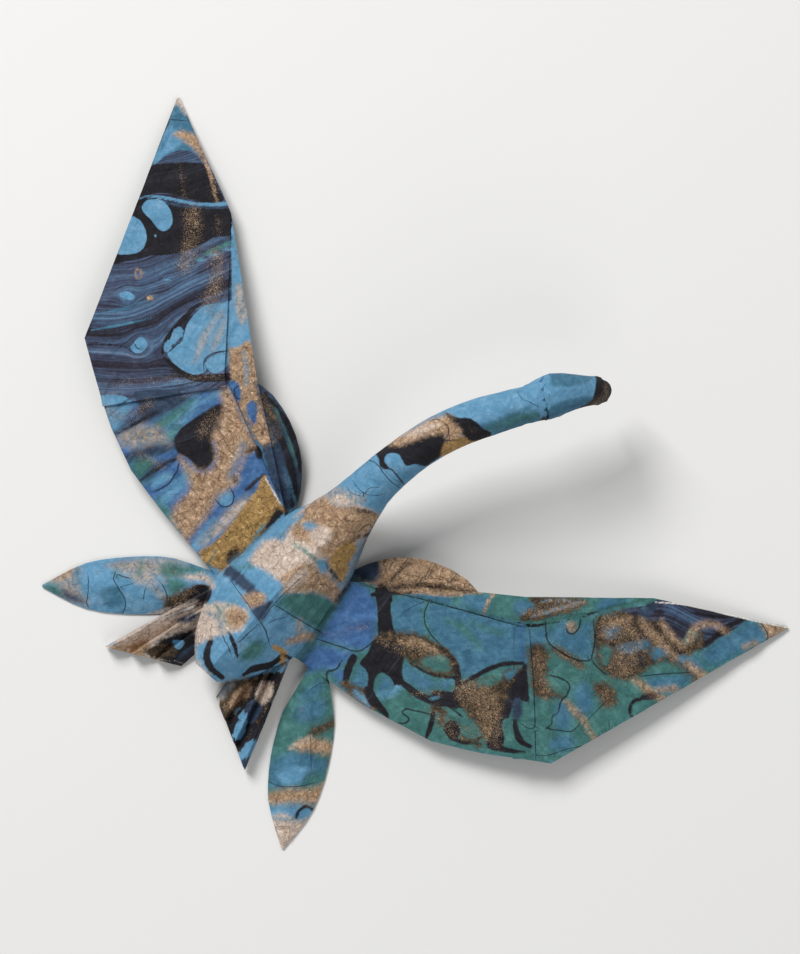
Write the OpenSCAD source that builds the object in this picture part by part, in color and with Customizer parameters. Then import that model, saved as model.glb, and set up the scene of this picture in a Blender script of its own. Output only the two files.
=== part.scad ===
// Folded paper crane, landing with its wings swept forward.
// One sheet of marbled paper: a hollow back that rolls up into the neck, two
// double wings, a petal under each wing, two leaf flaps and two pleated tail fans.
// Millimetres, +Z up, +Y towards the head, resting on z = 0.

/* [Paper] */
// Thickness of the folded paper, several layers pressed together
paper_t = 0.5; // [0.4:0.05:0.7]

/* [Body] */
// Width across the back at its widest
body_w = 45; // [38:1:52]
// Height of the ridge of the back above the table
body_h = 29; // [25:1:34]
// Height of the open lower edge of the back
body_edge_z = 11; // [9:0.5:13]
// Length of the pointed lobe behind the widest place
lobe_len = 30; // [24:1:36]
// Length of the flanks, from the widest place to the shoulders
flank_len = 38; // [34:1:44]
// Width across the shoulders
shoulder_w = 35; // [30:1:40]

/* [Neck] */
// Width of the rolled neck
neck_d = 15.5; // [13:0.5:18]
// Length over which the shoulders roll up into the neck
taper_len = 29; // [26:1:34]
// Length of the neck, from its start to the head
neck_len = 79; // [65:1:95]
// Height of the top of the neck's arch above the table
neck_top = 52; // [46:1:60]
// Sideways bend of the neck and head together, in degrees
neck_bend = 50; // [30:1:60]

/* [Head] */
// Width of the hood folded over the head
hood_w = 17.5; // [16:0.5:20]
// Length of the hood
hood_len = 22; // [18:1:26]
// Width of the hood at its square end
hood_end_w = 11.5; // [10:0.5:13]
// Distance that the beak stands out in front of the hood
beak_out = 6; // [4:0.5:9]
// Distance that the beak drops below the hood
beak_drop = 17; // [12:1:20]

/* [Wings] */
// Length of the left wing from the middle of its root to its tip
wing_len_left = 180; // [165:1:195]
// Length of the right wing from the middle of its root to its tip
wing_len_right = 185; // [165:1:195]
// Angle of the left wing forward of straight out, in degrees
wing_sweep_left = 39.5; // [36:0.5:43]
// Angle of the right wing forward of straight out, in degrees
wing_sweep_right = 40.5; // [36:0.5:43]
// Place of the left wing's root in front of the widest part of the body
wing_at_left = 20; // [17:0.5:21]
// Place of the right wing's root in front of the widest part of the body
wing_at_right = 16.5; // [15.5:0.5:20]
// Half the length of the wing root along the body
wing_root = 16; // [15:0.5:17]
// Distance from the root to the left wing's cross fold
fold_at_left = 67; // [60:1:76]
// Distance from the root to the right wing's cross fold
fold_at_right = 80; // [70:1:84]
// Distance from the root to the front corner
front_corner_at = 131; // [118:1:142]
// Distance of the left wing's front edge from the wing's middle line
front_w_left = 13.5; // [10:0.5:16]
// Distance of the right wing's front edge from the wing's middle line
front_w_right = 11; // [9:0.5:14]
// Width of the lower layer that shows in front of the upper one at the cross fold
strip_w = 12.5; // [8:0.5:15]
// Distance from the root to the rear corner
rear_corner_at = 91; // [86:1:100]
// Distance of the left wing's rear corner from the wing's middle line
rear_w_left = 52; // [46:1:58]
// Distance of the right wing's rear corner from the wing's middle line
rear_w_right = 55.5; // [48:0.5:60]
// Length by which the outer panel laps over the inner one
fold_lap = 4; // [2:0.5:6]
// Opening between the two layers at the front edge
layer_gap = 2; // [1.2:0.1:2.6]
// Height of the wings at their roots
wing_root_z = 8; // [7:0.5:9]
// Height of the wings at their cross folds
wing_fold_z = 17; // [12:0.5:22]
// Drop of the wings towards their rear edges, for each unit of width
wing_tilt = 0.1; // [0.07:0.01:0.14]

/* [Petals] */
// Length of the rounded petal under the front of each wing
petal_len = 56; // [48:1:62]
// Distance of the petal's front edge from the wing's middle line
petal_w = 25.5; // [22:0.5:28]
// Depth of the petal's curl below the wing
petal_drop = 8; // [5:0.5:9]

/* [Leaves] */
// Length of each leaf flap
leaf_len = 77; // [68:1:86]
// Width of each leaf flap
leaf_w = 23; // [18:0.5:27]
// Height of the leaf's crown over its edges
leaf_crown = 4.5; // [3:0.5:6]
// Gap between the two under layers of a leaf
leaf_slit = 3; // [2:0.5:5]
// Angle of the left leaf behind straight out, in degrees
leaf_angle_left = 42; // [36:1:50]
// Angle of the right leaf behind straight out, in degrees
leaf_angle_right = 60; // [53:1:63]
// Distance of the left leaf's root inside the edge of the body
leaf_in_left = 7.5; // [6:0.5:9]
// Distance of the right leaf's root outside the edge of the body
leaf_out_right = 8; // [6.5:0.5:9.5]

/* [Tail fans] */
// Number of pleats in each fan
fan_pleats = 3; // [2:1:4]
// Width of each fan at its root
fan_root_w = 13; // [11:0.5:14]
// Length of the fan's inner edge behind the widest place of the body
fan_inner_len = 35; // [30:1:40]
// Length of the fan's outer edge behind the widest place of the body
fan_outer_len = 49; // [42:1:56]
// Distance of the fan's tip from the middle
fan_tip_x = 37; // [32:0.5:42]
// Distance of the fan's rear inner corner from the middle
fan_inner_x = 9.5; // [8:0.5:12]
// Height of the pleats
pleat_h = 5.5; // [4:0.5:7]

/* [Hidden] */

LEFT = -1;
RIGHT = 1;

// Smooth and straight lines through knots [position, value], where a value may be a vector
function knot_before(k, x, i = 0) = i >= len(k) - 2 || x < k[i + 1][0] ? i : knot_before(k, x, i + 1);
function knot_slope(k, i) =
    let (a = max(i - 1, 0), b = min(i + 1, len(k) - 1))
    (k[b][1] - k[a][1]) / (k[b][0] - k[a][0]);
function spline(k, x) =
    let (i = knot_before(k, x), d = k[i + 1][0] - k[i][0], f = (x - k[i][0]) / d, g = 1 - f)
    k[i][1] * (1 + 2 * f) * g * g + knot_slope(k, i) * d * f * g * g
    + k[i + 1][1] * (3 - 2 * f) * f * f - knot_slope(k, i + 1) * d * f * f * g;
function mix(a, b, f) = a + (b - a) * f;
function unit(v) = v / norm(v);
function steps(from, to, count) = [for (i = [0 : count]) mix(from, to, i / count)];

// A sheet of paper through a grid of points, half its thickness to each side
function grid_normal(g, i, j) =
    let (r = len(g) - 1, c = len(g[0]) - 1)
    unit(cross(g[min(i + 1, r)][j] - g[max(i - 1, 0)][j], g[i][min(j + 1, c)] - g[i][max(j - 1, 0)]));
function offset_grid(g, d) =
    [for (i = [0 : len(g) - 1]) for (j = [0 : len(g[0]) - 1]) g[i][j] + grid_normal(g, i, j) * d];
function rim(rows, cols) = concat(
    [for (j = [0 : cols - 2]) j],
    [for (i = [0 : rows - 2]) i * cols + cols - 1],
    [for (j = [cols - 1 : -1 : 1]) (rows - 1) * cols + j],
    [for (i = [rows - 1 : -1 : 1]) i * cols]);
module sheet(grid) {
    rows = len(grid);
    cols = len(grid[0]);
    n = rows * cols;
    edge = rim(rows, cols);
    upper = [for (i = [0 : rows - 2]) for (j = [0 : cols - 2])
        let (a = i * cols + j) each [[a, a + 1, a + cols + 1], [a, a + cols + 1, a + cols]]];
    lower = [for (f = upper) [f[2] + n, f[1] + n, f[0] + n]];
    sides = [for (k = [0 : len(edge) - 1])
        let (a = edge[k], b = edge[(k + 1) % len(edge)]) each [[b, a, a + n], [b, a + n, b + n]]];
    polyhedron(concat(offset_grid(grid, paper_t / 2), offset_grid(grid, -paper_t / 2)),
        concat(upper, lower, sides));
}

// Spine: it runs forward from the point of the tail lobe, past the widest place at y = 0, and bends
// to the right along the neck
shoulder_at = lobe_len + flank_len;
neck_at = shoulder_at + taper_len;
head_at = neck_at + neck_len;
hood_end_at = head_at + hood_len;
beak_at = hood_end_at + beak_out;
beak_end_at = beak_at + beak_drop / 2;
beak_tip_r = 0.6;
bend_at = mix(shoulder_at, neck_at, 0.8);
bend_r = (beak_at - bend_at) / (neck_bend * PI / 180);
function heading(d) = max(0, d - bend_at) / bend_r * 180 / PI;
function spine_xy(d) =
    let (a = heading(d))
    [bend_r * (1 - cos(a)), min(d, bend_at) - lobe_len + bend_r * sin(a)];

// Sections along the spine: middle height, half width, half height, and how far the sides roll under
neck_r = neck_d / 2;
neck_mid_z = neck_top - neck_r;
back_h = body_h - body_edge_z;
function section(at, z, half_w, half_h, roll) = [at, [at, z, half_w, half_h, roll]];
stations = [
    section(0, body_edge_z + 0.11 * back_h, 0.12 * body_w, 0.2 * back_h, 0),
    section(0.1 * lobe_len, body_edge_z + 0.09 * back_h, 0.2 * body_w, 0.38 * back_h, 0),
    section(0.35 * lobe_len, body_edge_z + 0.05 * back_h, 0.32 * body_w, 0.62 * back_h, 0),
    section(0.7 * lobe_len, body_edge_z + 0.02 * back_h, 0.43 * body_w, 0.86 * back_h, 0),
    section(lobe_len, body_edge_z, 0.5 * body_w, back_h, 0),
    section(lobe_len + flank_len / 2, body_edge_z, (body_w + shoulder_w) / 4, 1.05 * back_h, 0),
    section(shoulder_at, body_edge_z + 0.17 * back_h, 0.5 * shoulder_w, 0.89 * back_h, 0.15),
    section(mix(shoulder_at, neck_at, 0.5), 0.45 * neck_mid_z, 0.36 * shoulder_w, 0.7 * back_h, 0.65),
    section(neck_at, 0.62 * neck_mid_z, 1.22 * neck_r, 1.15 * neck_r, 1),
    section(mix(neck_at, head_at, 0.35), 0.86 * neck_mid_z, 1.04 * neck_r, neck_r, 1),
    section(mix(neck_at, head_at, 0.75), neck_mid_z, neck_r, neck_r, 1),
    section(head_at, neck_mid_z - 0.03 * beak_drop, 0.94 * neck_r, 0.94 * neck_r, 1),
    section(mix(head_at, hood_end_at, 0.6), neck_mid_z - 0.2 * beak_drop, 0.82 * neck_r, 0.75 * neck_r, 1),
    section(hood_end_at, neck_mid_z - 0.46 * beak_drop, 0.7 * neck_r, 0.6 * neck_r, 1),
    [beak_at,
        [hood_end_at + 0.67 * beak_out, neck_mid_z - 0.82 * beak_drop, 0.52 * neck_r, 0.42 * neck_r, 1]],
    [beak_end_at,
        [hood_end_at + 0.75 * beak_out, neck_mid_z - 1.45 * beak_drop, beak_tip_r, beak_tip_r, 1]],
];
spine_end = stations[len(stations) - 1][0];
function middle(s) = let (v = spline(stations, s)) [each spine_xy(v[0]), v[1]];
function across(s) = let (a = heading(spline(stations, s)[0])) [cos(a), -sin(a), 0];
function upward(s) =
    let (roll = spline(stations, s)[4],
         d = middle(min(s + 1, spine_end)) - middle(max(s - 1, 0)),
         flat = [d[0], d[1], 0] + [0, 0, d[2] * roll])
    unit(cross(across(s), flat));

// Section of the back and neck: a ridged roof that closes into a tube as the sides roll under
open_wrap = 96;
closed_wrap = 170;
open_ridge = 1.75;
closed_ridge = 1.12;
function power(x, e) = sign(x) * pow(abs(x), e);
function back_point(s, share) =
    let (v = spline(stations, s),
         roll = min(1, max(0, v[4])),
         a = share * mix(open_wrap, closed_wrap, roll),
         e = mix(open_ridge, closed_ridge, roll))
    middle(s) + across(s) * v[2] * power(sin(a), e) + upward(s) * v[3] * power(cos(a), e);
back_rows = concat(
    steps(0, lobe_len, 7),
    steps(lobe_len, neck_at, 11),
    steps(neck_at, head_at, 12),
    steps(head_at, spine_end, 8));
function distinct(list) = [for (i = [0 : len(list) - 1]) if (i == 0 || list[i] != list[i - 1]) list[i]];
back_cols = steps(-1, 1, 14);
back_grid = [for (s = distinct(back_rows)) [for (c = back_cols) back_point(s, c)]];

module back_and_neck() {
    sheet(back_grid);
}

// Hood: a boxy fold over the head, open below, whose square end turns down on to the beak
hood_wrap = 118;
hood_power = 0.8;
hood_lift = 1.2;
hood_behind = 2;
hood_r = hood_w / 2;
hood_rows = [
    [0, [hood_r, neck_r + hood_lift]],
    [0.3, [hood_r * 1.02, neck_r + hood_lift]],
    [0.75, [mix(hood_r, hood_end_w / 2, 0.75), 0.85 * neck_r + hood_lift]],
    [0.97, [hood_end_w / 2, 0.75 * neck_r + hood_lift]],
    [1, [0.45 * hood_end_w, 0.58 * neck_r]],
];
function hood_point(f, share) =
    let (v = spline(hood_rows, f), s = mix(head_at - hood_behind, hood_end_at, f), a = share * hood_wrap)
    middle(s) + across(s) * v[0] * power(sin(a), hood_power) + upward(s) * v[1] * power(cos(a), hood_power);
hood_grid = [for (f = [0, 0.15, 0.3, 0.45, 0.6, 0.75, 0.87, 0.97, 1])
    [for (c = steps(-1, 1, 12)) hood_point(f, c)]];

module hood() {
    sheet(hood_grid);
}

// Wing: points in its own plan, out along its middle line and forward from it
root_tuck = 1;
wing_x = body_w / 2 - root_tuck;
tip_w = 0.8;
tip_z = 1.7 * paper_t;
function own(side, left, right) = side == LEFT ? left : right;
function wing_len(side) = own(side, wing_len_left, wing_len_right);
function fold_at(side) = own(side, fold_at_left, fold_at_right);
function front_w(side) = own(side, front_w_left, front_w_right);
function rear_w(side) = own(side, rear_w_left, rear_w_right);
function wing_xy(side, p) =
    let (a = own(side, wing_sweep_left, wing_sweep_right),
         y = own(side, wing_at_left, wing_at_right))
    [wing_x + p[0] * cos(a) - p[1] * sin(a), y + p[0] * sin(a) + p[1] * cos(a)];
function past_fold(side, p) = (p[0] - fold_at(side)) / (wing_len(side) - fold_at(side));
function wing_z(side, p) =
    let (f = past_fold(side, p))
    wing_tilt * p[1] * (1 - max(0, f))
    + (f < 0 ? mix(wing_root_z, wing_fold_z, p[0] / fold_at(side)) : mix(wing_fold_z, tip_z, f));
function lap_z(side, p) = mix(wing_fold_z, tip_z, past_fold(side, p)) + wing_tilt * p[1];
function on_wing(side, p, down = 0) = [each wing_xy(side, p), wing_z(side, p) - down];

// Corners of a wing, named from its root outwards
root_skew = 0.62 * wing_root;
rear_root = [-root_skew, -wing_root];
front_root = [root_skew, wing_root];
function rear_corner(side) = [rear_corner_at, -rear_w(side)];
function front_corner(side) = [front_corner_at, front_w(side)];
function tip(side, edge) = [wing_len(side), edge * tip_w / 2];
function on_line(a, b, x) = mix(a, b, (x - a[0]) / (b[0] - a[0]));
function rear_point(side, x) =
    [x, spline([rear_root, [0.43 * rear_corner_at, -0.83 * rear_w(side)], rear_corner(side)], x)];

// Each row of a layer runs from the rear edge to the front edge
function layer_rows(side, fold, front_fold) =
    let (rear = rear_corner(side), front = front_corner(side), last = tip(side, -1), first = tip(side, 1))
    [
        [rear_root, front_root],
        [rear_point(side, fold * 0.2), on_line(front_root, front_fold, fold * 0.33)],
        [rear_point(side, fold * 0.54), on_line(front_root, front_fold, fold * 0.6)],
        [rear_point(side, fold * 0.8), on_line(front_root, front_fold, fold * 0.82)],
        [rear_point(side, fold), front_fold],
        [rear, on_line(front_fold, front, mix(fold, front_corner_at, 0.4))],
        [on_line(rear, last, front_corner_at), front],
        [on_line(rear, last, mix(front_corner_at, wing_len(side), 0.5)), mix(front, first, 0.5)],
        [last, first],
    ];
fold_row = 4;
tip_row = 8;
wing_cols = steps(0, 1, 6);
function upper_rows(side) = layer_rows(side, fold_at(side), [fold_at(side), front_w(side) - strip_w]);
function lower_rows(side) = layer_rows(side, fold_at(side), [fold_at(side), front_w(side)]);

// The upper layer's root goes under the open edge of the back and turns up to meet it from inside
wall_share = 5 / 7;
wall_behind = 3;
panel_drop = 0.4 * paper_t;
function root_wall(side, c) =
    let (top = back_point(mix(lobe_len - wall_behind, shoulder_at - wall_behind, c), wall_share),
         out = on_wing(side, mix(rear_root, front_root, c)))
    [top - [0, 0, paper_t / 2], [top[0] - paper_t, top[1], out[2] - paper_t]];
function inner_panel(side) = concat(
    [for (k = [0 : 1]) [for (c = wing_cols) root_wall(side, c)[k]]],
    [for (i = [0 : fold_row]) let (r = upper_rows(side)[i])
        [for (c = wing_cols) on_wing(side, mix(r[0], r[1], c), panel_drop)]]);

// The outer panel starts on the inner one with a lap
function lap_row(side) =
    let (r = upper_rows(side)[fold_row])
    [for (c = wing_cols)
        let (p = mix(r[0], r[1], c) - [fold_lap, 0])
        [each wing_xy(side, p), lap_z(side, p)]];
function outer_panel(side) = concat([lap_row(side)],
    [for (i = [fold_row : tip_row]) let (r = upper_rows(side)[i])
        [for (c = wing_cols) on_wing(side, mix(r[0], r[1], c))]]);

// The lower layer is joined to the upper one along the rear fold and stands away from it towards the front
joined_gap = 0.8 * paper_t;
function open_share(side, p) =
    min(1, max(0, (front_corner_at - p[0]) / (front_corner_at - fold_at(side))));
function layer_drop(side, p, c) = panel_drop + mix(joined_gap, layer_gap, c * open_share(side, p));
function lower_panel(side) = [for (r = lower_rows(side))
    [for (c = wing_cols) let (p = mix(r[0], r[1], c)) on_wing(side, p, layer_drop(side, p, c))]];

function under_wing_z(side, q) =
    let (a = own(side, wing_sweep_left, wing_sweep_right),
         x = q[0] - wing_x,
         y = q[1] - own(side, wing_at_left, wing_at_right))
    wing_z(side, [x * cos(a) + y * sin(a), y * cos(a) - x * sin(a)]) - panel_drop - joined_gap;

module wing(side) {
    sheet(inner_panel(side));
    sheet(outer_panel(side));
    sheet(lower_panel(side));
}

// Petal: it hangs from the lower layer and curls down in front of it, at most to the table
petal_from = 6;
petal_floor = 0.6 * paper_t;
petal_behind = 11;
petal_curl = [[0, 0], [0.2, 0.35], [0.6, 0.5], [1, 1]];
function petal_point(side, f, c) =
    let (u = petal_from + petal_len * f,
         front = mix(front_w(side), petal_w, pow(sin(180 * mix(0.08, 1, f)), 0.7)),
         p = [u, mix(front_w(side) - petal_behind, front, sin(90 * c))],
         curl = petal_drop * spline(petal_curl, c) * mix(1, 0.45, f),
         q = on_wing(side, p, layer_drop(side, p, 1) + curl))
    [q[0], q[1], max(petal_floor, q[2])];
function petal_grid(side) = [for (f = steps(0, 1, 10)) [for (c = steps(0, 1, 7)) petal_point(side, f, c)]];

module petal(side) {
    sheet(petal_grid(side));
}

// Leaf: a crowned upper face with both long edges folded under, flat on the table
leaf_outline = [
    [0, 0.25], [0.14, 0.52], [0.3, 0.9], [0.44, 1], [0.63, 0.95], [0.79, 0.74], [0.905, 0.38], [1, 0.03]];
leaf_root_y = 3.5;
leaf_flat_from = 0.36;
leaf_flat_to = 0.97;
function leaf_half(f) = leaf_w / 2 * spline(leaf_outline, f);
function leaf_place(side, along, out, z) =
    let (a = own(side, leaf_angle_left, leaf_angle_right),
         x = body_w / 2 + own(side, -leaf_in_left, leaf_out_right))
    [x + along * cos(a) + out * sin(a), leaf_root_y - along * sin(a) + out * cos(a), z];
function leaf_crown_z(f, c) = 0.9 * paper_t + leaf_crown * (1 - pow(abs(c), 1.3)) * spline(leaf_outline, f);

// The leaf's root rises to the lower layer of the wing above it
root_sink = 0.3 * paper_t;
function leaf_rise(side) = under_wing_z(side, leaf_place(side, 0, 0, 0)) - leaf_crown_z(0, 0) - root_sink;
function leaf_top(side, f, c) =
    let (down = min(1, f / leaf_flat_from),
         lift = leaf_rise(side) * (1 - down * down * (3 - 2 * down)))
    leaf_place(side, leaf_len * f, leaf_half(f) * c, lift + leaf_crown_z(f, c));
function leaf_grid(side) = [for (f = steps(0, 1, 13)) [for (c = steps(1, -1, 6)) leaf_top(side, f, c)]];
function slit_half(f) = min(leaf_slit / 2, 0.8 * leaf_half(f));
function under_grid(side, edge) = [for (f = steps(leaf_flat_from, leaf_flat_to, 8))
    [for (c = edge > 0 ? [1, 0] : [0, 1])
        leaf_place(side, leaf_len * f, edge * mix(slit_half(f), leaf_half(f), c), paper_t / 2)]];

module leaf(side) {
    sheet(leaf_grid(side));
    for (edge = [-1, 1]) sheet(under_grid(side, edge));
}

// Tail fan: pleats from under the back, cut off on a slant
fan_root_y = 11;
fan_root_slant = 2;
fan_root_in = 3.4;
fan_root_under = 2;
fan_end_z = 1.2;
wall_x = body_w / 2 * power(sin(wall_share * open_wrap), open_ridge);
fan_root_x = wall_x - fan_root_in - fan_root_w;
ridge_share = 0.86;
creases = 2 * fan_pleats;
function crease_share(k) = (floor(k / 2) + (k % 2) * ridge_share) / fan_pleats;
function fan_root(k) = [
    fan_root_x + fan_root_w * crease_share(k),
    fan_root_y - fan_root_slant * crease_share(k),
    body_edge_z - fan_root_under + (k % 2) * pleat_h / 2];
function fan_end(k) = [
    mix(fan_inner_x, fan_tip_x, crease_share(k)),
    -mix(fan_inner_len, fan_outer_len, crease_share(k)),
    fan_end_z + (k % 2) * pleat_h];

module tail_fan() {
    for (k = [0 : creases - 1]) hull()
        for (p = [fan_root(k), fan_root(k + 1), fan_end(k), fan_end(k + 1)])
            translate(p) sphere(d = paper_t, $fn = 6);
}

// Origin: the middle of the whole crane's outline, on the table
function axis_values(g, axis) = [for (row = g) for (p = row) p[axis]];
front_y = max(max(axis_values(hood_grid, 1)), max(axis_values(back_grid, 1)));
rear_y = min(min(axis_values(leaf_grid(LEFT), 1)), min(axis_values(leaf_grid(RIGHT), 1)));
middle_x = (wing_xy(RIGHT, tip(RIGHT, 0))[0] - wing_xy(LEFT, tip(LEFT, 0))[0]) / 2;

module folded_crane() {
    color("steelblue") translate([-middle_x, -(front_y + rear_y) / 2, 0]) {
        back_and_neck();
        hood();
        for (side = [LEFT, RIGHT]) scale([side, 1, 1]) {
            wing(side);
            petal(side);
            leaf(side);
            tail_fan();
        }
    }
}

folded_crane();
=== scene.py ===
# Folded crane of marbled paper, seen from straight above as it lies on a table.
import math

import bmesh
import bpy
import numpy as np
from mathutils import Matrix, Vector, noise
from mathutils.bvhtree import BVHTree


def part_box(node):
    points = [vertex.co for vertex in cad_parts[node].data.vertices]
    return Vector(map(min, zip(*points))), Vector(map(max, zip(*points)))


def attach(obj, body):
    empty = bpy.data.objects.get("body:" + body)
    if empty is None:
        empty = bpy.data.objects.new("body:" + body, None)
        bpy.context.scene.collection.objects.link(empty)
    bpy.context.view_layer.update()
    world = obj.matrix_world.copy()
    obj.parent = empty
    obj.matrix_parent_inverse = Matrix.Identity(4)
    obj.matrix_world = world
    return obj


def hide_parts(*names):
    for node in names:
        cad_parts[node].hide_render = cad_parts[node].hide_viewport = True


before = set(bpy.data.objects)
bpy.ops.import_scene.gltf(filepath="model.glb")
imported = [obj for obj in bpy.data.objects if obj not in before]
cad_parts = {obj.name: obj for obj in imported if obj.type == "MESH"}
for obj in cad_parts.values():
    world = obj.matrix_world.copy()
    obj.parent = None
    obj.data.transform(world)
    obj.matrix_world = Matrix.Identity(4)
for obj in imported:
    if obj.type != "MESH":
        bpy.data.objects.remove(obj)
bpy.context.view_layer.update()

# Folded sheet
# One square of thin marbled paper, folded by hand into a crane with its wings swept forward.
# Nothing is glued: the folds hold it, and the paper is crinkled all over from the folding.
crane_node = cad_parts["folded_crane"]
WELD = 2e-6
folds = bmesh.new()
folds.from_mesh(crane_node.data)
bmesh.ops.remove_doubles(folds, verts=folds.verts, dist=WELD)
bmesh.ops.triangulate(folds, faces=folds.faces)
folds.normal_update()
shelter = BVHTree.FromBMesh(folds)

# The faces open to the sky carry the fine print, so they are cut smaller than the hidden ones
OPEN_EDGE = 0.0014
HIDDEN_EDGE = 0.0055
CUT_STAGES = (0.016, 0.008, 0.004, 0.002, 0, 0, 0)
LEAST_UPWARD = 0.01
CLEAR_OF_SHEET = Vector((0, 0, 0.00004))
UP = Vector((0, 0, 1))


def face_is_open(face):
    if face.normal.z < LEAST_UPWARD:
        return False
    return shelter.ray_cast(face.calc_center_median() + CLEAR_OF_SHEET, UP)[0] is None


for largest in CUT_STAGES:
    seen = {f.index: face_is_open(f) for f in folds.faces}
    long_edges = []
    for e in folds.edges:
        limit = OPEN_EDGE if any(seen[f.index] for f in e.link_faces) else HIDDEN_EDGE
        if e.calc_length() > max(limit, largest):
            long_edges.append(e)
    if not long_edges:
        break
    bmesh.ops.subdivide_edges(folds, edges=long_edges, cuts=1)
    bmesh.ops.triangulate(folds, faces=[f for f in folds.faces if len(f.verts) > 3])
    folds.normal_update()
    folds.faces.index_update()
folds.verts.index_update()
folds.edges.index_update()

flat = np.array([v.co[:] for v in folds.verts])
pairs = np.array([(e.verts[0].index, e.verts[1].index) for e in folds.edges])


def with_neighbours(marked, rings):
    for ring in range(rings):
        spread = marked.copy()
        spread[pairs[:, 0]] |= marked[pairs[:, 1]]
        spread[pairs[:, 1]] |= marked[pairs[:, 0]]
        marked = spread
    return marked


is_open = np.zeros(len(flat), bool)
for f in folds.faces:
    if face_is_open(f):
        for v in f.verts:
            is_open[v.index] = True
strictly_open = is_open.astype(float)
is_open = with_neighbours(is_open, 3)
SHARP_FOLD = math.radians(32)
creased = np.zeros(len(flat), bool)
for e in folds.edges:
    if len(e.link_faces) != 2 or e.calc_face_angle() > SHARP_FOLD:
        creased[e.verts[0].index] = creased[e.verts[1].index] = True

# The bird's own axes are in millimetres. The print is laid out on a plan of the crane as seen from above,
# x right and y down, with 2.5 units to the millimetre
TURN = math.radians(48.6)
BIRD_SHIFT = (0.89, 46.54)
PLAN_ORIGIN = (262, 610)
PLAN_PER_MM = 2.5
PLAN_PER_M = 1000 * PLAN_PER_MM


def bird_axes(points):
    return points[:, 0] * 1000 + BIRD_SHIFT[0], points[:, 1] * 1000 + BIRD_SHIFT[1]


def plan_right(x, y):
    return PLAN_ORIGIN[0] + PLAN_PER_MM * (x * math.sin(TURN) + y * math.cos(TURN))


def plan_down(x, y):
    return PLAN_ORIGIN[1] - PLAN_PER_MM * (y * math.sin(TURN) - x * math.cos(TURN))


# The neck bows a little, downwards in the plan, between the back and the hood
NECK_FLOOR = 0.028
BOW_STATIONS = (425, 460, 495, 525, 545, 560)
BOW_DEPTHS = (0, 2.5, 5, 5, 2, 0)
neck_bow = np.interp(plan_right(*bird_axes(flat)), BOW_STATIONS, BOW_DEPTHS) / PLAN_PER_M
neck_bow *= flat[:, 2] > NECK_FLOOR
flat[:, 0] += neck_bow * math.cos(TURN)
flat[:, 1] -= neck_bow * math.sin(TURN)
bird_x, bird_y = bird_axes(flat)

# The hidden faces of the flaps take the print of the flap opposite
FLAP_TOP = 0.022
FLAP_START = 24
other_side = ~is_open & (flat[:, 2] < FLAP_TOP) & (np.abs(bird_x) > FLAP_START)
plan_x = np.where(other_side, -bird_x, bird_x)
plan = np.column_stack((plan_right(plan_x, bird_y), plan_down(plan_x, bird_y)))

# Rolled paper is round: the flats along the back, neck, petals and leaves are eased, sharp folds are kept
LEFT_SWEEP, RIGHT_SWEEP = math.radians(39.5), math.radians(40.5)
ROOT_OUT, LEFT_ROOT, RIGHT_ROOT = 21.5, 17, 13.5
WING_START, WING_BACK, WING_FRONT = -16, -60, 12
ROOT_REACH, ROOT_TOP = 6, 0.0105
HOOD_START, HOOD_FLUSH, HOOD_RIM_END, HOOD_END, HOOD_FOOT = 522, 548, 562, 592, 432
EASE_TURNS, EASE_SHARE = 14, 0.5
on_left = bird_x < 0
sweep = np.where(on_left, LEFT_SWEEP, RIGHT_SWEEP)
wing_x = np.abs(bird_x) - ROOT_OUT
wing_y = bird_y - np.where(on_left, LEFT_ROOT, RIGHT_ROOT)
wing_along = wing_x * np.cos(sweep) + wing_y * np.sin(sweep)
wing_across = wing_y * np.cos(sweep) - wing_x * np.sin(sweep)
wing_top = np.where(wing_along > ROOT_REACH, FLAP_TOP, ROOT_TOP)
on_wing = (wing_across > WING_BACK) & (wing_across < WING_FRONT) & (wing_along > WING_START)
on_wing &= flat[:, 2] < wing_top
on_hood = (plan[:, 0] > HOOD_START) & (plan[:, 1] < HOOD_FOOT) & (plan[:, 0] < HOOD_END)
free = (~creased | on_hood) & ~on_wing
count = np.bincount(pairs.ravel(), minlength=len(flat))[:, None]


def neighbour_mean(values):
    total = np.column_stack([np.bincount(pairs[:, 0], values[pairs[:, 1], axis], len(flat))
                             + np.bincount(pairs[:, 1], values[pairs[:, 0], axis], len(flat))
                             for axis in range(values.shape[1])])
    return total / count


def ease(points, chosen):
    points[chosen] += EASE_SHARE * (neighbour_mean(points) - points)[chosen]


eased = flat.copy()
for turn in range(EASE_TURNS):
    ease(eased, free)

# The hood wraps the neck closely: its rim starts flush and swells towards the head, and the neck stays inside it
HOOD_TURNS = 24
HOOD_SKIN, HOOD_GAP = 0.0001, 0.004
NECK_FIT, RIM_FIT = 0.95, 0.985
hood_rim = with_neighbours(creased, 4)
hood_rim = (hood_rim | (plan[:, 0] < HOOD_FLUSH)) & on_hood & (plan[:, 0] < HOOD_RIM_END)
under_hood = np.zeros(len(flat), bool)
folds.verts.ensure_lookup_table()
for i in np.flatnonzero(hood_rim):
    v = folds.verts[i]
    under_hood[i] = shelter.ray_cast(v.co + v.normal * HOOD_SKIN, v.normal, HOOD_GAP)[0] is not None
stations = (505, 520, 530, 540, 550, 562)
rim_top = np.interp(plan[:, 0], stations, (392, 387, 383, 377, 373.5, 373.4))
rim_foot = np.interp(plan[:, 0], stations, (429, 425.5, 423.5, 421.5, 419.5, 415.4))
rim_level = np.interp(plan[:, 0], stations, (44.5, 44.4, 44.4, 44.5, 44.5, 44.2)) / 1000
rim_height = np.interp(plan[:, 0], stations, (7.9, 7.9, 7.95, 8.2, 8.3, 8.0)) / 1000
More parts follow.
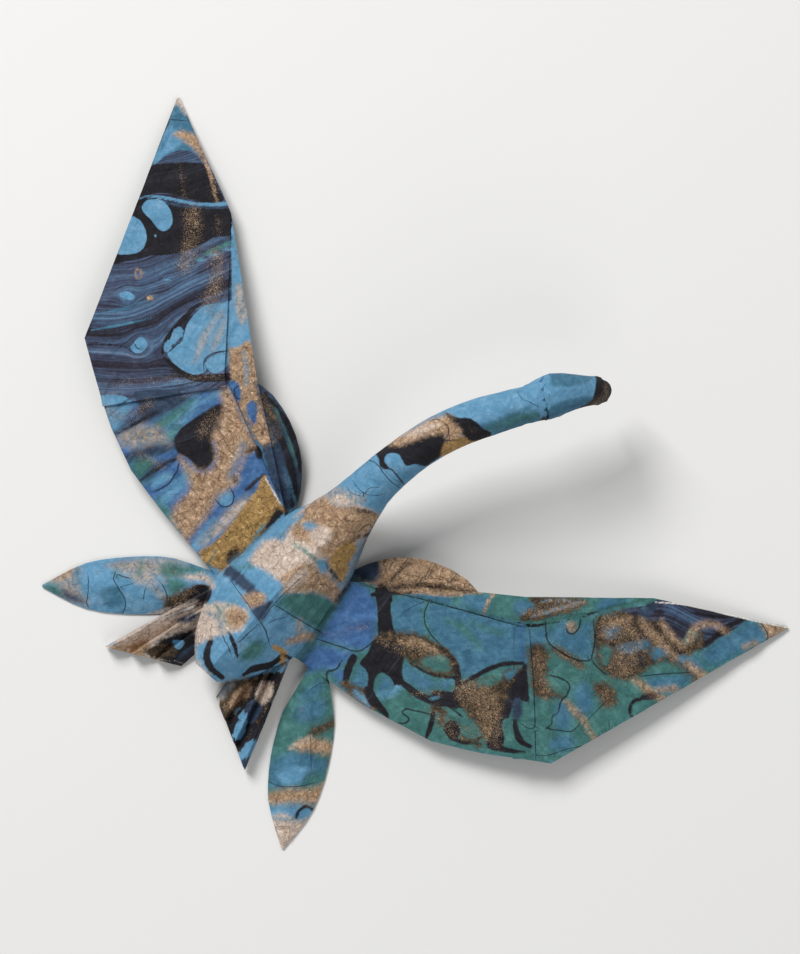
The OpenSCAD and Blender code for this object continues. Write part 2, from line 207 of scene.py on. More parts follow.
for turn in range(HOOD_TURNS):
    ease(eased, hood_rim)
    off_side = plan_down(*bird_axes(eased)) - (rim_top + rim_foot) / 2
    off_up = eased[:, 2] - rim_level
    size = np.maximum(np.hypot(off_side / ((rim_foot - rim_top) / 2), off_up / rim_height), 1e-6)
    fitted = np.where(under_hood, np.minimum(size, NECK_FIT), np.clip(size, RIM_FIT, 1.0))
    change = (fitted / size - 1) * hood_rim
    eased[:, 0] += change * off_side * math.cos(TURN) / PLAN_PER_M
    eased[:, 1] -= change * off_side * math.sin(TURN) / PLAN_PER_M
    eased[:, 2] += change * off_up
for v, p in zip(folds.verts, eased):
    v.co = p
folds.normal_update()
facing = np.array([v.normal[:] for v in folds.verts])

# Crinkles: flat facets between creases, and a soft wave that moves both faces of the sheet together
noise.seed_set(11)
DEEPEST_DENT, HIGHEST_CRINKLE = -0.0001, 0.0006
SMOOTH_BEND = math.radians(38)


def facet(point, scale, shift):
    gaps, seeds = noise.voronoi(point * scale + shift)
    return (gaps[1] ** 2 - gaps[0] ** 2) / (2 * max((seeds[1] - seeds[0]).length, 1e-6)) / scale


def crumple(point):
    p = point + noise.noise_vector(point * 60) * 0.004
    return (facet(p, 95, Vector((0, 0, 0))) - facet(p, 80, Vector((3.3, 1.7, 8.1)))) * 0.17


def sway(point):
    return noise.noise_vector(point * 38) * 0.0003 + noise.noise_vector(point * 130) * 0.0001


lift = neighbour_mean((strictly_open * ~creased)[:, None])[:, 0] * ~creased * np.clip(facing[:, 2], 0, 1) ** 2
height = np.array([crumple(Vector(p)) if near_top else 0.0 for p, near_top in zip(flat, lift > 0)])
wave = np.array([sway(Vector(p))[:] for p in flat])
moved = eased + wave + facing * (np.clip(height, DEEPEST_DENT, HIGHEST_CRINKLE) * lift)[:, None]
low, high = (np.array(corner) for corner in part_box("folded_crane"))
for v, p in zip(folds.verts, np.clip(moved, low, high)):
    v.co = p
for f in folds.faces:
    f.smooth = True
for e in folds.edges:
    e.smooth = len(e.link_faces) == 2 and e.calc_face_angle() < SMOOTH_BEND
crane_mesh = bpy.data.meshes.new("crane")
folds.to_mesh(crane_mesh)
folds.free()
crane = bpy.data.objects.new("crane", crane_mesh)
bpy.context.scene.collection.objects.link(crane)

# Marbling bath
# Inks floated on a bath and lifted off with the sheet. Each ink keeps its distance to its own edge, below
# zero inside, and one laid over another pushes it aside, as drops do on the bath.
FAR = 40.0
INK_BLEED = 24
VEIN_AND_SHADE_BLEED = 6
INKS = ("blue", "sky", "deep", "teal", "navy", "comb", "haze", "dark", "bronze", "cream", "gold", "ochre")
ink_edge = {name: np.full(len(plan), FAR) for name in INKS}
ink_edge["blue"][:] = -FAR
dust_edge = np.full(len(plan), FAR)
raw_edge = np.full(len(plan), FAR)
vein_side = np.full(len(plan), FAR)
vein_off = np.full(len(plan), FAR)
grain_along = plan[:, 0].copy()
grain_across = plan[:, 1].copy()
grain_reach = np.zeros(len(plan))


def rounded(points, closed):
    p = np.array(points, float)
    if len(p) < 3:
        return p
    before, after = (np.roll(p, 1, 0), np.roll(p, -1, 0)) if closed else (
        np.vstack((p[:1], p[:-1])), np.vstack((p[1:], p[-1:])))
    slope = (after - before) / 2
    line = []
    for i in range(len(p) if closed else len(p) - 1):
        j = (i + 1) % len(p)
        for f in (0, 0.25, 0.5, 0.75):
            g = 1 - f
            line.append(p[i] * (1 + 2 * f) * g * g + slope[i] * f * g * g
                        + p[j] * (3 - 2 * f) * f * f - slope[j] * f * f * g)
    return np.array(line if closed else line + [p[-1]])


def near(line, margin):
    return np.flatnonzero((plan > line.min(0) - margin).all(1) & (plan < line.max(0) + margin).all(1))


def to_segments(at, start, end):
    run = end - start
    rel = at[:, None, :] - start[None]
    share = np.clip((rel * run).sum(2) / np.maximum((run * run).sum(1), 1e-9), 0, 1)
    gap = rel - share[..., None] * run
    return np.hypot(gap[..., 0], gap[..., 1]), share, rel, run


def depth_in(at, ring):
    end = np.roll(ring, -1, 0)
    depth = to_segments(plan[at], ring, end)[0].min(1)
    x, y = plan[at, 0:1], plan[at, 1:2]
    rise = np.where(np.abs(end[:, 1] - ring[:, 1]) < 1e-9, 1e-9, end[:, 1] - ring[:, 1])
    crosses = ((ring[:, 1] > y) != (end[:, 1] > y)) & (
        x < (end[:, 0] - ring[:, 0]) * (y - ring[:, 1]) / rise + ring[:, 0])
    return np.where(crosses.sum(1) % 2 == 1, -depth, depth)


def lay(colour, at, depth):
    if colour == "dust":
        dust_edge[at] = np.minimum(dust_edge[at], depth)
    elif colour == "raw":
        raw_edge[at] = np.minimum(raw_edge[at], depth)
    else:
        for name in INKS:
            if name == colour:
                ink_edge[name][at] = np.minimum(ink_edge[name][at], depth)
            else:
                ink_edge[name][at] = np.maximum(ink_edge[name][at], -depth)


def panel(colour, *corners, smooth=False):
    ring = rounded(corners, True) if smooth else np.array(corners, float)
    at = near(ring, INK_BLEED)
    if len(at):
        lay(colour, at, depth_in(at, ring))


def pool(colour, *outline):
    panel(colour, *outline, smooth=True)


def streak(colour, half_width, *points):
    line = rounded(points, False)
    gone, given = np.linspace(0, 1, len(line)), np.linspace(0, 1, np.size(half_width))
    widths = np.interp(gone, given, np.ravel(half_width))
    at = near(line, INK_BLEED + widths.max())
    if len(at):
        reach, share = to_segments(plan[at], line[:-1], line[1:])[:2]
        lay(colour, at, (reach - widths[:-1] - share * (widths[1:] - widths[:-1])).min(1))


# Flakes of gold thrown over a stretch of the bath
def dust(half_width, *points):
    streak("dust", half_width, *points)


# Dark line, thinner towards its ends. Most are dark ink squeezed to a thread between two drops; those marked below
# as painted shade stand for the shade along a fold or crease
def vein(half_width, *points):
    line = rounded(points, False)
    at = near(line, VEIN_AND_SHADE_BLEED)
    if not len(at):
        return
    reach, share, rel, run = to_segments(plan[at], line[:-1], line[1:])
    best = reach.argmin(1)
    rows = np.arange(len(at))
    gone = (best + share[rows, best]) / (len(line) - 1)
    width = half_width * np.minimum(1, 0.4 + 5 * np.minimum(gone, 1 - gone))
    side = np.sign(run[best, 0] * rel[rows, best, 1] - run[best, 1] * rel[rows, best, 0])
    off = reach[rows, best] - width
    closer = off < vein_off[at]
    vein_off[at[closer]] = off[closer]
    vein_side[at[closer]] = (side * reach[rows, best] / width)[closer]


# Drag of the inks along a path, over one panel of the sheet
def brush(reach, corners, *points):
    ring = np.array(corners, float)
    at = near(ring, 1)
    at = at[depth_in(at, ring) < 0]
    if len(at):
        line = rounded(points, False)
        away, share, rel, run = to_segments(plan[at], line[:-1], line[1:])
        best = away.argmin(1)
        rows = np.arange(len(at))
        length = np.hypot(run[:, 0], run[:, 1])
        start = np.concatenate(([0], np.cumsum(length)[:-1]))
        grain_along[at] = start[best] + (rel[rows, best] * run[best]).sum(1) / length[best]
        grain_across[at] = (run[best, 0] * rel[rows, best, 1] - run[best, 1] * rel[rows, best, 0]) / length[best]
        grain_reach[at] = reach


# Left wing, outer panel
# The half of the wing turned back over itself, a flat lap of paper that lies on the lower layer.
# Combed slate lines on black, with drops of light blue that pushed the lines apart.
panel("comb", (179, 94), (78, 340), (100, 409), (232, 387), (238, 220))
LEFT_TIP = ((179, 94), (150, 172), (206, 160))
brush(3, LEFT_TIP, (150, 150), (180, 140), (205, 150))
pool("blue", (179, 98), (168, 128), (152, 166), (165, 157), (178, 151), (190, 151), (203, 156), (198, 138),
     (188, 118))
pool("sky", (154, 164), (160, 146), (168, 128), (176, 130), (184, 138), (178, 147), (166, 154))
pool("cream", (179, 94), (175, 104), (180, 106), (185, 113), (190, 113))
vein(0.6, (170, 120), (186, 121))
pool("gold", (174, 135), (182, 132), (192, 134), (199, 140), (205, 157), (197, 151), (189, 143), (180, 138))
pool("dark", (149, 168), (165, 164), (185, 163), (205, 165), (216, 186), (224, 203), (200, 202), (180, 197),
     (160, 193), (138, 197))
streak("gold", (2, 0.6), (202, 152), (208, 168), (213, 186), (217, 202))
pool("dark", (136, 202), (160, 199), (180, 204), (200, 209), (230, 209), (236, 224), (232, 236), (215, 238),
     (205, 243), (190, 250), (172, 255), (155, 256), (135, 260), (112, 264), (120, 245))
streak("sky", (0.9, 1.2, 1.8), (138, 199), (150, 196.5), (166, 198), (182, 202), (200, 205), (228, 204.5))
streak("navy", (1, 1.6, 1), (160, 201), (185, 207), (230, 208.5))
streak("teal", (0.6, 1.6, 1.8), (194, 262), (212, 252), (233, 243))
streak("sky", (0.5, 1.1, 1.2), (188, 267), (210, 258), (233, 250))
streak("navy", (0.6, 1.8, 1.8), (184, 262), (206, 250), (233, 238))
pool("sky", (146, 202), (152, 200), (162, 201), (168, 206), (172, 214), (173, 222), (170, 229), (164, 232),
     (158, 229), (152, 221), (145, 214), (142, 208))
pool("sky", (131, 218), (139, 220), (144, 226), (147, 234), (147, 243), (143, 250), (136, 254), (127, 255),
     (116, 253), (122, 236))
streak("sky", 1.5, (156, 236), (156.6, 236.4))
streak("dark", (1.6, 2.4, 2.6, 1.2), (163, 354), (167, 340), (180, 324), (193, 310), (208, 301))
streak("dark", (1.6, 3.2, 4, 3.4), (165, 358), (184, 374), (204, 379), (232, 377))
streak("blue", (0.4, 1.5, 0.5), (94, 316), (120, 310), (150, 300))
streak("blue", (0.4, 1.7, 0.5), (92, 331), (122, 325), (154, 318))
pool("sky", (203, 308), (212, 305), (222, 304), (233, 305), (233, 352), (224, 352), (214, 354), (207, 358),
     (205, 364), (207, 371), (202, 374), (193, 375), (184, 371), (176, 365), (170, 358), (168, 354), (174, 348),
     (181, 341), (184.5, 333), (187, 326), (193, 317))
BIG_DROP = ((184, 330), (206, 306), (232, 305), (232, 350), (208, 356), (196, 372), (176, 362))
brush(3.5, BIG_DROP, (190, 372), (206, 340), (222, 306))
streak("haze", (0.5, 3.5, 2, 0.5), (196, 362), (203, 342), (212, 326), (222, 312))
streak("haze", (0.5, 2.4, 0.8), (213, 351), (219, 338), (226, 322))
pool("sky", (171, 338), (174, 331), (179, 327), (182.5, 329), (182.5, 335), (178, 340.5), (172.5, 345),
     (170, 343))
pool("sky", (164, 350), (166, 343), (168.5, 340), (170.5, 345), (172, 347), (168, 352))
pool("sky", (207, 366), (208.5, 360), (215, 356), (224, 354), (231, 354.5), (230, 362), (225, 370), (216, 374),
     (210, 371.5))
vein(0.7, (205, 372), (204.5, 363), (208, 357.5), (216, 353.5), (231, 351.5))
vein(0.8, (168.5, 353), (175, 347), (182.5, 340), (185, 330), (188, 322))
pool("sky", (136, 341), (141, 338), (146, 340), (148, 346), (145, 351), (139, 354), (133, 352), (131, 347),
     (134.5, 344.5))
vein(0.6, (135.5, 344), (137, 348), (141, 350))
pool("sky", (120, 294.5), (127, 291.5), (133, 294), (136, 298), (130, 300.5), (123, 298.5))
streak("sky", (0.4, 1.2, 0.4), (164, 281), (168, 280), (172, 281))
streak("gold", 2.2, (150, 298), (152, 298.5))
streak("gold", 0.5, (137, 270), (141, 270), (143, 275), (140, 279), (136, 276), (137, 270))
streak("dark", (1.2, 0.7), (88, 345), (108, 345), (128, 348))
dust(12, (193, 214), (193, 240), (184, 266))
dust(12, (216, 256), (217, 284), (210, 302))
dust(3.5, (180, 164), (184, 196))
dust(5, (213, 178), (217, 200))
dust(4, (217, 220), (219, 236))
dust(5, (108, 385), (150, 381), (190, 379), (222, 377))
dust(6, (205, 310), (222, 318))
dust(4, (214, 345), (226, 340))
dust(5, (180, 136), (200, 145))
dust(3, (220, 330), (212, 362))

# Left wing, lower layer
# The under half of the same flap, showing as a narrow strip in front of the turned back lap.
# Light blue towards the tip, gold where it comes near the petal.
panel("sky", (232, 220), (243, 262), (253, 340), (251, 346), (232, 352))
pool("haze", (236, 286), (245, 288), (249, 312), (243, 326), (236, 312))
pool("gold", (230, 353), (240, 348), (251, 343), (258, 372), (263, 400), (272, 444), (262, 446), (246, 418),
     (236, 396))
streak("haze", (2, 3, 1), (244, 352), (248, 372), (246, 388))
pool("deep", (229, 384), (238, 382), (242, 392), (240, 401), (234, 402))
vein(0.7, (240, 386), (235, 390), (237, 398), (241, 399))
pool("deep", (249, 403), (256, 402), (258.5, 412), (256, 425), (251, 420), (247.5, 412))
# Painted shade: the lower surface past the strip's end lies in the strip's shade and is laid in navy
panel("navy", (262, 446), (272, 442), (290, 500), (288, 514), (270, 476))
dust(6, (246, 350), (256, 390), (262, 430))

# Left petal
# A small rounded flap in front of the wing root, one layer of the sheet bent up.
# Dark slate and green, with a worn patch of gold.
LEFT_PETAL = ((254, 380), (272, 382), (300, 418), (314, 474), (312, 520), (286, 518), (264, 446), (272, 443))
brush(5, LEFT_PETAL, (258, 388), (284, 440), (300, 515))
panel("navy", *LEFT_PETAL)
streak("dark", (3, 4, 5), (282, 440), (292, 470), (296, 512))
streak("dark", (1.5, 3, 3), (266, 394), (290, 428), (302, 470))
streak("bronze", (2, 3.4, 1), (262, 396), (272, 414), (280, 438))
streak("teal", (0.4, 1, 0.4), (276, 408), (290, 440), (298, 466))
streak("blue", (0.5, 1.4, 0.8), (286, 468), (292, 488), (298, 508))

# Left wing, inner panel
# The half of the wing next to the body, a single flat panel that runs under the turned back lap.
# Deep blue dragged forward in streaks, a broad band of crinkled gold with a black drop, ochre at the root.
LEFT_INNER = ((97, 409), (230, 386), (290, 516), (215, 582), (125, 470))
brush(6, LEFT_INNER, (120, 478), (180, 430), (240, 380))
panel("deep", *LEFT_INNER)
pool("sky", (100, 398), (118, 395), (130, 399), (134, 406), (130, 416), (121, 430), (112, 432))
pool("navy", (136, 392), (170, 390), (186, 397), (174, 412), (152, 420), (136, 420), (140, 406))
streak("navy", (2, 5, 4, 2), (114, 436), (134, 424), (156, 414), (176, 398))
streak("navy", (0.3, 1, 0.4), (104, 412), (118, 407), (134, 397))
dust(8, (106, 408), (124, 418), (150, 404))
streak("dark", (0.6, 1.6, 1), (118, 434), (136, 424), (158, 412))
pool("teal", (154, 424), (166, 414), (186, 402), (198, 398), (186, 414), (172, 426), (160, 432))
streak("sky", (2, 3.4, 4, 2.4), (166, 438), (180, 425), (192, 413), (207, 402), (226, 391))
streak("deep", (0.5, 2.2, 2), (186, 420), (200, 408), (224, 395))
pool("teal", (158, 446), (166, 432), (178, 424), (182, 428), (174, 442), (166, 450))
pool("haze", (118, 438), (128, 431), (142, 425), (158, 427), (166, 434), (170, 443), (158, 443), (142, 447),
     (126, 447))
streak("navy", (4, 6, 4), (124, 460), (150, 450), (178, 446))
pool("teal", (130, 464), (146, 456), (156, 464), (150, 478), (140, 482))
streak("navy", (2, 3.4, 2), (138, 482), (158, 468), (180, 456))
streak("dark", (0.6, 1.4, 1), (142, 480), (160, 468), (180, 457))
pool("sky", (152, 482), (160, 475), (170, 473), (175, 478), (162, 485), (154, 488))
streak("sky", (5, 6, 3), (162, 502), (174, 491), (186, 477), (188, 466))
vein(1.1, (154, 492), (168, 485), (177, 473), (180, 462))
streak("teal", (4, 5, 4), (158, 504), (170, 516), (184, 534))
pool("dark", (175, 441), (182, 428), (194, 419), (207, 411), (221, 404), (226, 410), (222, 424), (217, 434),
     (212, 442), (196, 440))
pool("gold", (221, 392), (229, 388), (238, 405), (247, 425), (255, 444), (248, 458), (242, 470), (237, 482),
     (228, 490), (216, 499), (212, 513), (204, 524), (196, 537), (188, 545), (180, 532), (172, 517), (178, 504),
     (190, 490), (188, 474), (181, 458), (196, 470), (210, 470), (217, 460), (216, 445), (213, 436), (220, 424),
     (224, 408))
pool("dark", (176, 440), (186, 437), (200, 437), (210, 441), (215.5, 450), (215, 460), (209, 467), (202, 470.5),
     (196, 467), (191, 460), (184, 456), (178, 452))
streak("haze", (2, 4, 3), (244, 444), (238, 460), (231, 478))
streak("deep", (1, 3, 3), (246, 448), (240, 462), (234, 476))
pool("deep", (239, 469), (245, 458), (252, 451), (259, 459), (263, 469), (257, 477), (249, 483), (243, 485),
     (238, 478))
streak("dark", (1.6, 2.2, 1.8), (235, 477), (239, 487), (248, 488), (255, 482), (264, 475))
streak("dark", (3, 3.4), (249, 451), (256, 448), (260, 456))
streak("deep", (8, 7, 7, 5), (194, 547), (205, 530), (217, 513), (230, 496), (240, 488))
streak("sky", (4, 3.4, 2), (194, 549), (204, 535), (214, 521))
pool("sky", (217, 498), (222, 492), (230, 490), (233, 497), (230, 504), (222, 504.5))
vein(0.8, (215.5, 499), (222, 506), (231, 504.5), (234.5, 496), (231, 489))
streak("haze", (4, 5, 4, 2), (203, 542), (217, 529), (234, 510), (250, 497))
streak("cream", (1, 2.2, 1), (216, 532), (232, 514), (246, 502))
pool("ochre", (264, 475), (272, 488), (280, 502), (288, 516), (268, 532), (252, 548), (240, 560), (228, 574),
     (217, 580), (207, 567), (199, 553), (211, 545), (222, 535), (233, 521), (244, 506), (255, 493))
streak("teal", (0.8, 1.5), (216, 551), (209, 565))
pool("bronze", (226, 556), (236, 548), (240, 556), (232, 566))
# Painted shade: the dark band along the root, where the wing passes under the body
pool("dark", (276, 508), (280, 508), (286, 516), (270, 530), (254, 548), (242, 564), (232, 576), (227, 576),
     (243, 556), (260, 534), (269, 521))
streak("teal", (0.8, 1.2), (264, 524), (244, 554), (232, 569))
dust(5, (184, 397), (204, 391), (226, 391))
dust(10, (130, 436), (158, 434))
dust(9, (203, 432), (213, 416))
dust(7, (140, 455), (164, 466))
dust(4, (104, 394), (120, 394))
dust(4, (110, 418), (112, 428))
dust(4, (210, 535), (240, 505))
streak("raw", 0.8, (265.5, 479), (273, 491), (281, 504))

# Back
# The body: the layers at the middle of the sheet, pressed into a rounded roof with the tail folds behind.
# Pale gold and cream over light blue, a green patch, and painted shade along the folds that cross there.
BACK = ((208, 584), (286, 512), (330, 486), (386, 512), (340, 606), (302, 668), (224, 686), (192, 668),
        (192, 604))
brush(3, BACK, (372, 490), (318, 548), (250, 630), (220, 670))
panel("sky", *BACK)
pool("cream", (262, 543), (280, 530), (300, 512), (322, 496), (344, 498), (360, 504), (382, 512), (368, 530),
     (350, 546), (340, 562), (328, 574), (306, 592), (292, 586), (280, 580), (264, 574), (248, 565))
pool("gold", (300, 513), (320, 497), (340, 498), (356, 506), (382, 512), (368, 532), (350, 548), (337, 564),
     (324, 560), (318, 546), (300, 540), (292, 532))
pool("cream", (310, 534), (322, 526), (332, 530), (328, 542), (318, 546))
pool("sky", (260, 542), (276, 524), (292, 516), (304, 512), (300, 521), (291, 529), (284, 540), (272, 539))
pool("sky", (303, 523), (310, 521.5), (318, 525), (312, 529), (305, 527.5))
pool("ochre", (336, 550), (350, 540), (357, 546), (350, 562), (344, 580), (336, 580), (328, 568))
pool("gold", (280, 579), (298, 566), (316, 564), (330, 576), (341, 590), (337, 604), (322, 593), (302, 592),
     (286, 594))
pool("cream", (286, 584), (300, 571), (310, 569), (300, 584), (290, 591))
pool("sky", (316, 562), (324, 557), (331, 564), (329, 571), (322, 573))
streak("teal", (0.8, 2, 1.4), (294, 544), (308, 552), (318, 562))
streak("navy", (1, 2.6, 1), (327, 561), (332, 571), (339, 580))
# Painted shade: navy and blue down the right side of the back, for the shade on that side
streak("navy", (4, 6.5, 6, 4), (384, 516), (366, 548), (352, 580), (338, 606))
streak("blue", (0.8, 1.8, 1.4), (374, 528), (362, 552), (350, 578))
streak("haze", (0.6, 1.4, 0.8), (366, 534), (354, 560), (344, 584))
vein(0.6, (358, 532), (364, 526), (371, 524), (374, 530), (368, 533))
streak("dark", (1, 2, 1), (352, 541), (362, 535), (376, 533))
streak("dark", (0.8, 1.8, 1.4), (348, 505), (364, 511), (384, 511))
pool("sky", (234, 571), (246, 560), (258, 566), (270, 572), (284, 582), (284, 591), (275, 598), (266, 596),
     (258, 586), (250, 576))
streak("teal", (1, 1.6), (240, 568), (252, 565))
panel("teal", (278, 604), (286, 592), (312, 591), (324, 594), (340, 606), (332, 622), (322, 634), (300, 619))
streak("navy", (6, 5.4, 5.4), (230, 571), (246, 583), (257, 595))
pool("gold", (243, 596), (254, 592), (266, 594), (264, 604), (254, 607), (247, 602))
pool("navy", (253, 608), (262, 602), (275, 601), (262, 620))
# Painted shade: dark lines along the folds that cross the back
vein(0.5, (262, 620), (276, 602), (290, 588), (302, 576))
vein(0.5, (231, 578), (246, 599), (261, 620))
vein(0.5, (260, 621), (248, 632), (238, 642))
vein(0.8, (260, 619), (266, 628), (270, 642))
vein(0.7, (276, 604), (300, 619), (324, 634))
vein(0.4, (268, 622), (276, 618), (288, 616))
pool("sky", (212, 592), (222, 582), (230, 577), (239, 589), (247, 601), (236, 603), (224, 605), (214, 600))
pool("cream", (196, 608), (210, 603), (228, 602), (240, 606), (250, 612), (247, 622), (240, 629), (228, 631),
     (215, 636), (196, 643), (194, 625))
pool("gold", (228, 611), (238, 606), (248, 612), (246, 622), (236, 627), (229, 622))
streak("haze", (2, 4, 3), (206, 612), (218, 616), (224, 630))
streak("teal", (0.8, 1.8, 1), (214, 602), (222, 612), (228, 624))
streak("teal", (0.8, 1.2), (224, 606), (234, 604))
pool("teal", (242, 650), (252, 640), (264, 642), (262, 652), (250, 660), (242, 658))
streak("haze", (3, 5, 3), (300, 621), (302, 632), (314, 640))
streak("gold", (2, 3.4, 2), (289, 642), (300, 638), (312, 635))
streak("dark", (1, 2.4, 0.8), (230, 631), (235, 643), (238.5, 656))
vein(0.6, (224, 634), (229, 645), (232, 653))
streak("dark", (2, 3.6, 4, 2.8, 2.2), (245, 675), (254, 668), (267, 666), (278, 660), (283, 654))
streak("sky", 1.0, (248, 676), (262, 673), (279, 668))
streak("ochre", (2.4, 3.2, 2.2), (275, 646), (284, 652), (283, 664))
streak("dark", (2, 2, 1.8, 1.6), (286, 655), (297, 662), (308, 660), (320, 644))
streak("dark", (1.6, 3.2, 4, 3.4, 2.4), (213, 638), (209, 648), (208, 658), (214, 669), (224, 677))
streak("cream", (1.4, 2.4, 1.6), (197, 660), (202, 668), (209, 674))
dust(6, (248, 598), (262, 598))
dust(4, (286, 640), (312, 636))
dust(7, (352, 512), (372, 516))
dust(5, (262, 556), (300, 520))
dust(6, (300, 584), (330, 590))

# Neck and head
# The long point of the sheet, rolled narrow and bent to one side, its end tucked inside out for the head.
# Light blue with black and gold patches, and a dark beak.
NECK = ((330, 490), (346, 472), (378, 446), (440, 408), (532, 372), (560, 362), (616, 362), (616, 404),
        (540, 432), (480, 444), (432, 470), (402, 498), (384, 516), (356, 504))
brush(3, NECK, (340, 498), (380, 462), (440, 430), (500, 408), (545, 396), (604, 384))
panel("sky", *NECK)
pool("haze", (326, 494), (336, 486), (350, 492), (362, 497), (352, 506), (334, 505))
pool("cream", (330, 498), (340, 494), (350, 500), (342, 505))
pool("haze", (356, 498), (364, 496), (366, 501), (360, 503))
pool("blue", (452, 441), (480, 426), (510, 414), (528, 406), (520, 416), (496, 426), (470, 440))
vein(0.6, (364, 458), (376, 463), (384, 473), (391, 481), (402, 489))
vein(1.1, (381, 465), (391, 469), (398, 477), (405, 485))
vein(0.35, (346, 486), (352, 493), (364, 496))
vein(0.35, (352, 480), (360, 490), (372, 495), (384, 493))
vein(0.3, (362, 497), (370, 488), (380, 487))
pool("dark", (375, 450), (386, 444), (396, 439), (404, 443), (412, 440), (426, 436), (440, 433), (446, 440),
     (444, 452), (438, 458), (426, 466), (414, 464), (405, 465), (399, 455), (392, 452.5), (385.5, 455),
     (384.5, 462), (390, 470), (381, 467), (378, 458))
pool("gold", (388, 444), (404, 431), (420, 424), (436, 418), (450, 416), (455, 424), (461, 431), (460, 442),
     (447, 442), (441, 434), (425, 437), (410, 442), (402, 445))
streak("cream", (1, 3, 1), (404, 436), (422, 430), (438, 425))
vein(0.45, (428, 422), (437, 420), (448, 430), (443, 441))
vein(0.45, (442, 441), (460, 440))
pool("ochre", (444, 444), (462, 438), (482, 437), (472, 444), (456, 452), (440, 462))
streak("sky", 0.9, (402, 434), (412, 428), (422, 423))
pool("dark", (443, 412), (455, 418), (468, 419), (475, 423), (483, 430), (494, 435), (482, 442), (466, 440),
     (459, 430), (452, 424))
dust(3, (470, 430), (472, 433))
streak("sky", 0.9, (434, 417), (448, 411))
pool("blue", (490, 434), (510, 420), (532, 412), (540, 416), (538, 428), (500, 440))
pool("blue", (546, 412), (562, 402), (590, 398), (582, 410), (566, 418), (547, 425))
pool("blue", (548, 374), (566, 370), (590, 372), (584, 384), (566, 388), (550, 386))
# Painted shade: the dark patch under the hood's lower rim and the thin dark line along the hood's fold
pool("dark", (538, 416), (542, 410), (546, 420), (543, 428), (537, 426))
vein(0.35, (516, 392), (520, 400), (532, 405), (542, 409))
streak("teal", (1, 3, 1.5), (486, 430), (512, 421), (536, 413))
pool("dark", (588, 360), (600, 364), (616, 374), (616, 398), (606, 410), (590, 412), (578, 409), (590, 400),
     (594, 384), (592, 374))
streak("bronze", (1, 2.2, 2.4), (603, 386), (603, 397), (591, 405))
dust(3, (604, 388), (598, 402))

# Right wing, lower layer
# The strip of the under half that shows in front of the wing's long front fold.
# Light blue at the body, green and gold further out.
panel("teal", (354, 574), (664, 597), (664, 603), (527, 629), (400, 595))
pool("sky", (354, 576), (378, 580), (404, 588), (404, 595), (380, 590), (360, 584))
pool("blue", (404, 589), (425, 587), (445, 590), (451, 596), (449, 604), (430, 600), (412, 596))
pool("blue", (462, 596), (478, 594), (490, 598), (484, 610), (466, 606))
streak("gold", 1.2, (493, 593), (486, 604), (483, 614))
pool("blue", (516, 600), (530, 600), (534, 610), (524, 618), (514, 612))
pool("bronze", (528, 596), (552, 596), (584, 599), (580, 606), (560, 614), (536, 620), (518, 619), (526, 611),
     (536, 606))
streak("haze", (0.5, 1.8, 0.6), (530, 616), (556, 608), (582, 601))
streak("haze", (0.4, 1.2, 0.4), (540, 602), (556, 599), (572, 601))
streak("dark", (0.8, 1.6, 1.6), (496, 616), (530, 625), (578, 618))
pool("blue", (600, 599), (614, 598), (626, 600), (606, 608), (596, 610))
dust(7, (524, 612), (560, 606), (582, 602))

# Right petal
# The matching rounded flap on the other side, standing a little higher.
# Crinkled gold, with painted shade: a dark corner where the neck shades it, and dark lines along the crinkles.
RIGHT_PETAL = ((356, 580), (382, 554), (412, 550), (456, 560), (500, 590), (450, 596), (400, 592))
brush(4, RIGHT_PETAL, (376, 590), (410, 570), (440, 556))
panel("gold", *RIGHT_PETAL)
# Painted shadow: the dark corner in the neck's shade
pool("navy", (356, 574), (372, 558), (380, 562), (378, 580), (362, 582))
streak("cream", (1, 2.5, 2), (456, 568), (470, 576), (480, 584))
streak("bronze", (2, 3.6, 3, 1.6), (378, 590), (410, 584), (446, 587), (474, 591))
streak("bronze", (0.5, 1.5, 0.6), (390, 580), (402, 568), (418, 554))
streak("bronze", (0.4, 1.3, 0.5), (418, 584), (430, 572), (440, 562))
streak("bronze", (0.4, 1.1, 0.4), (446, 584), (456, 576), (464, 569))
# Painted shade: dark lines along the crinkles of the gold
vein(0.35, (386, 588), (396, 572), (412, 554))
vein(0.3, (412, 590), (426, 574), (434, 558))
vein(0.3, (440, 590), (452, 578), (462, 566))
vein(0.3, (396, 572), (424, 577), (450, 580), (476, 586))

# Right wing, inner panel
# The half of the wing next to the body, the same fold as on the left but on the greener part of the sheet.
# Blue drops crowded together with black squeezed between them, green below and dark gold near the fold.
RIGHT_INNER = ((356, 578), (400, 592), (529, 627), (537, 764), (440, 746), (364, 726), (294, 662))
brush(3, RIGHT_INNER, (320, 690), (430, 650), (540, 640))
panel("teal", *RIGHT_INNER)
pool("deep", (318, 640), (332, 615), (345, 592), (353, 581), (363, 585), (371, 592), (376.5, 601), (377, 625),
     (374, 640), (366, 648), (355, 648.5), (338, 643))
pool("deep", (300, 664), (316, 646), (330, 646), (348, 651), (356, 655), (352, 662), (345, 661), (338, 668),
     (328, 671), (326, 684), (314, 678))
vein(0.9, (318, 639), (338, 645), (356, 650.5), (367, 646), (376, 638))
pool("deep", (329, 677), (336, 671), (346, 669), (346, 680), (340, 691), (331, 684))
vein(1.3, (342, 661), (336, 669), (328, 671), (327, 679), (331, 686))
streak("dark", (3.6, 4, 2.8), (354, 657), (349, 668), (345, 682))
pool("blue", (361, 663), (367.5, 668), (368, 690), (358, 690), (351, 684), (356, 672))
pool("bronze", (338, 684), (350, 682), (366, 692), (374, 710), (362, 706), (350, 694))
pool("sky", (353, 688), (362, 692), (370, 700), (371, 707), (362, 702), (354, 694))
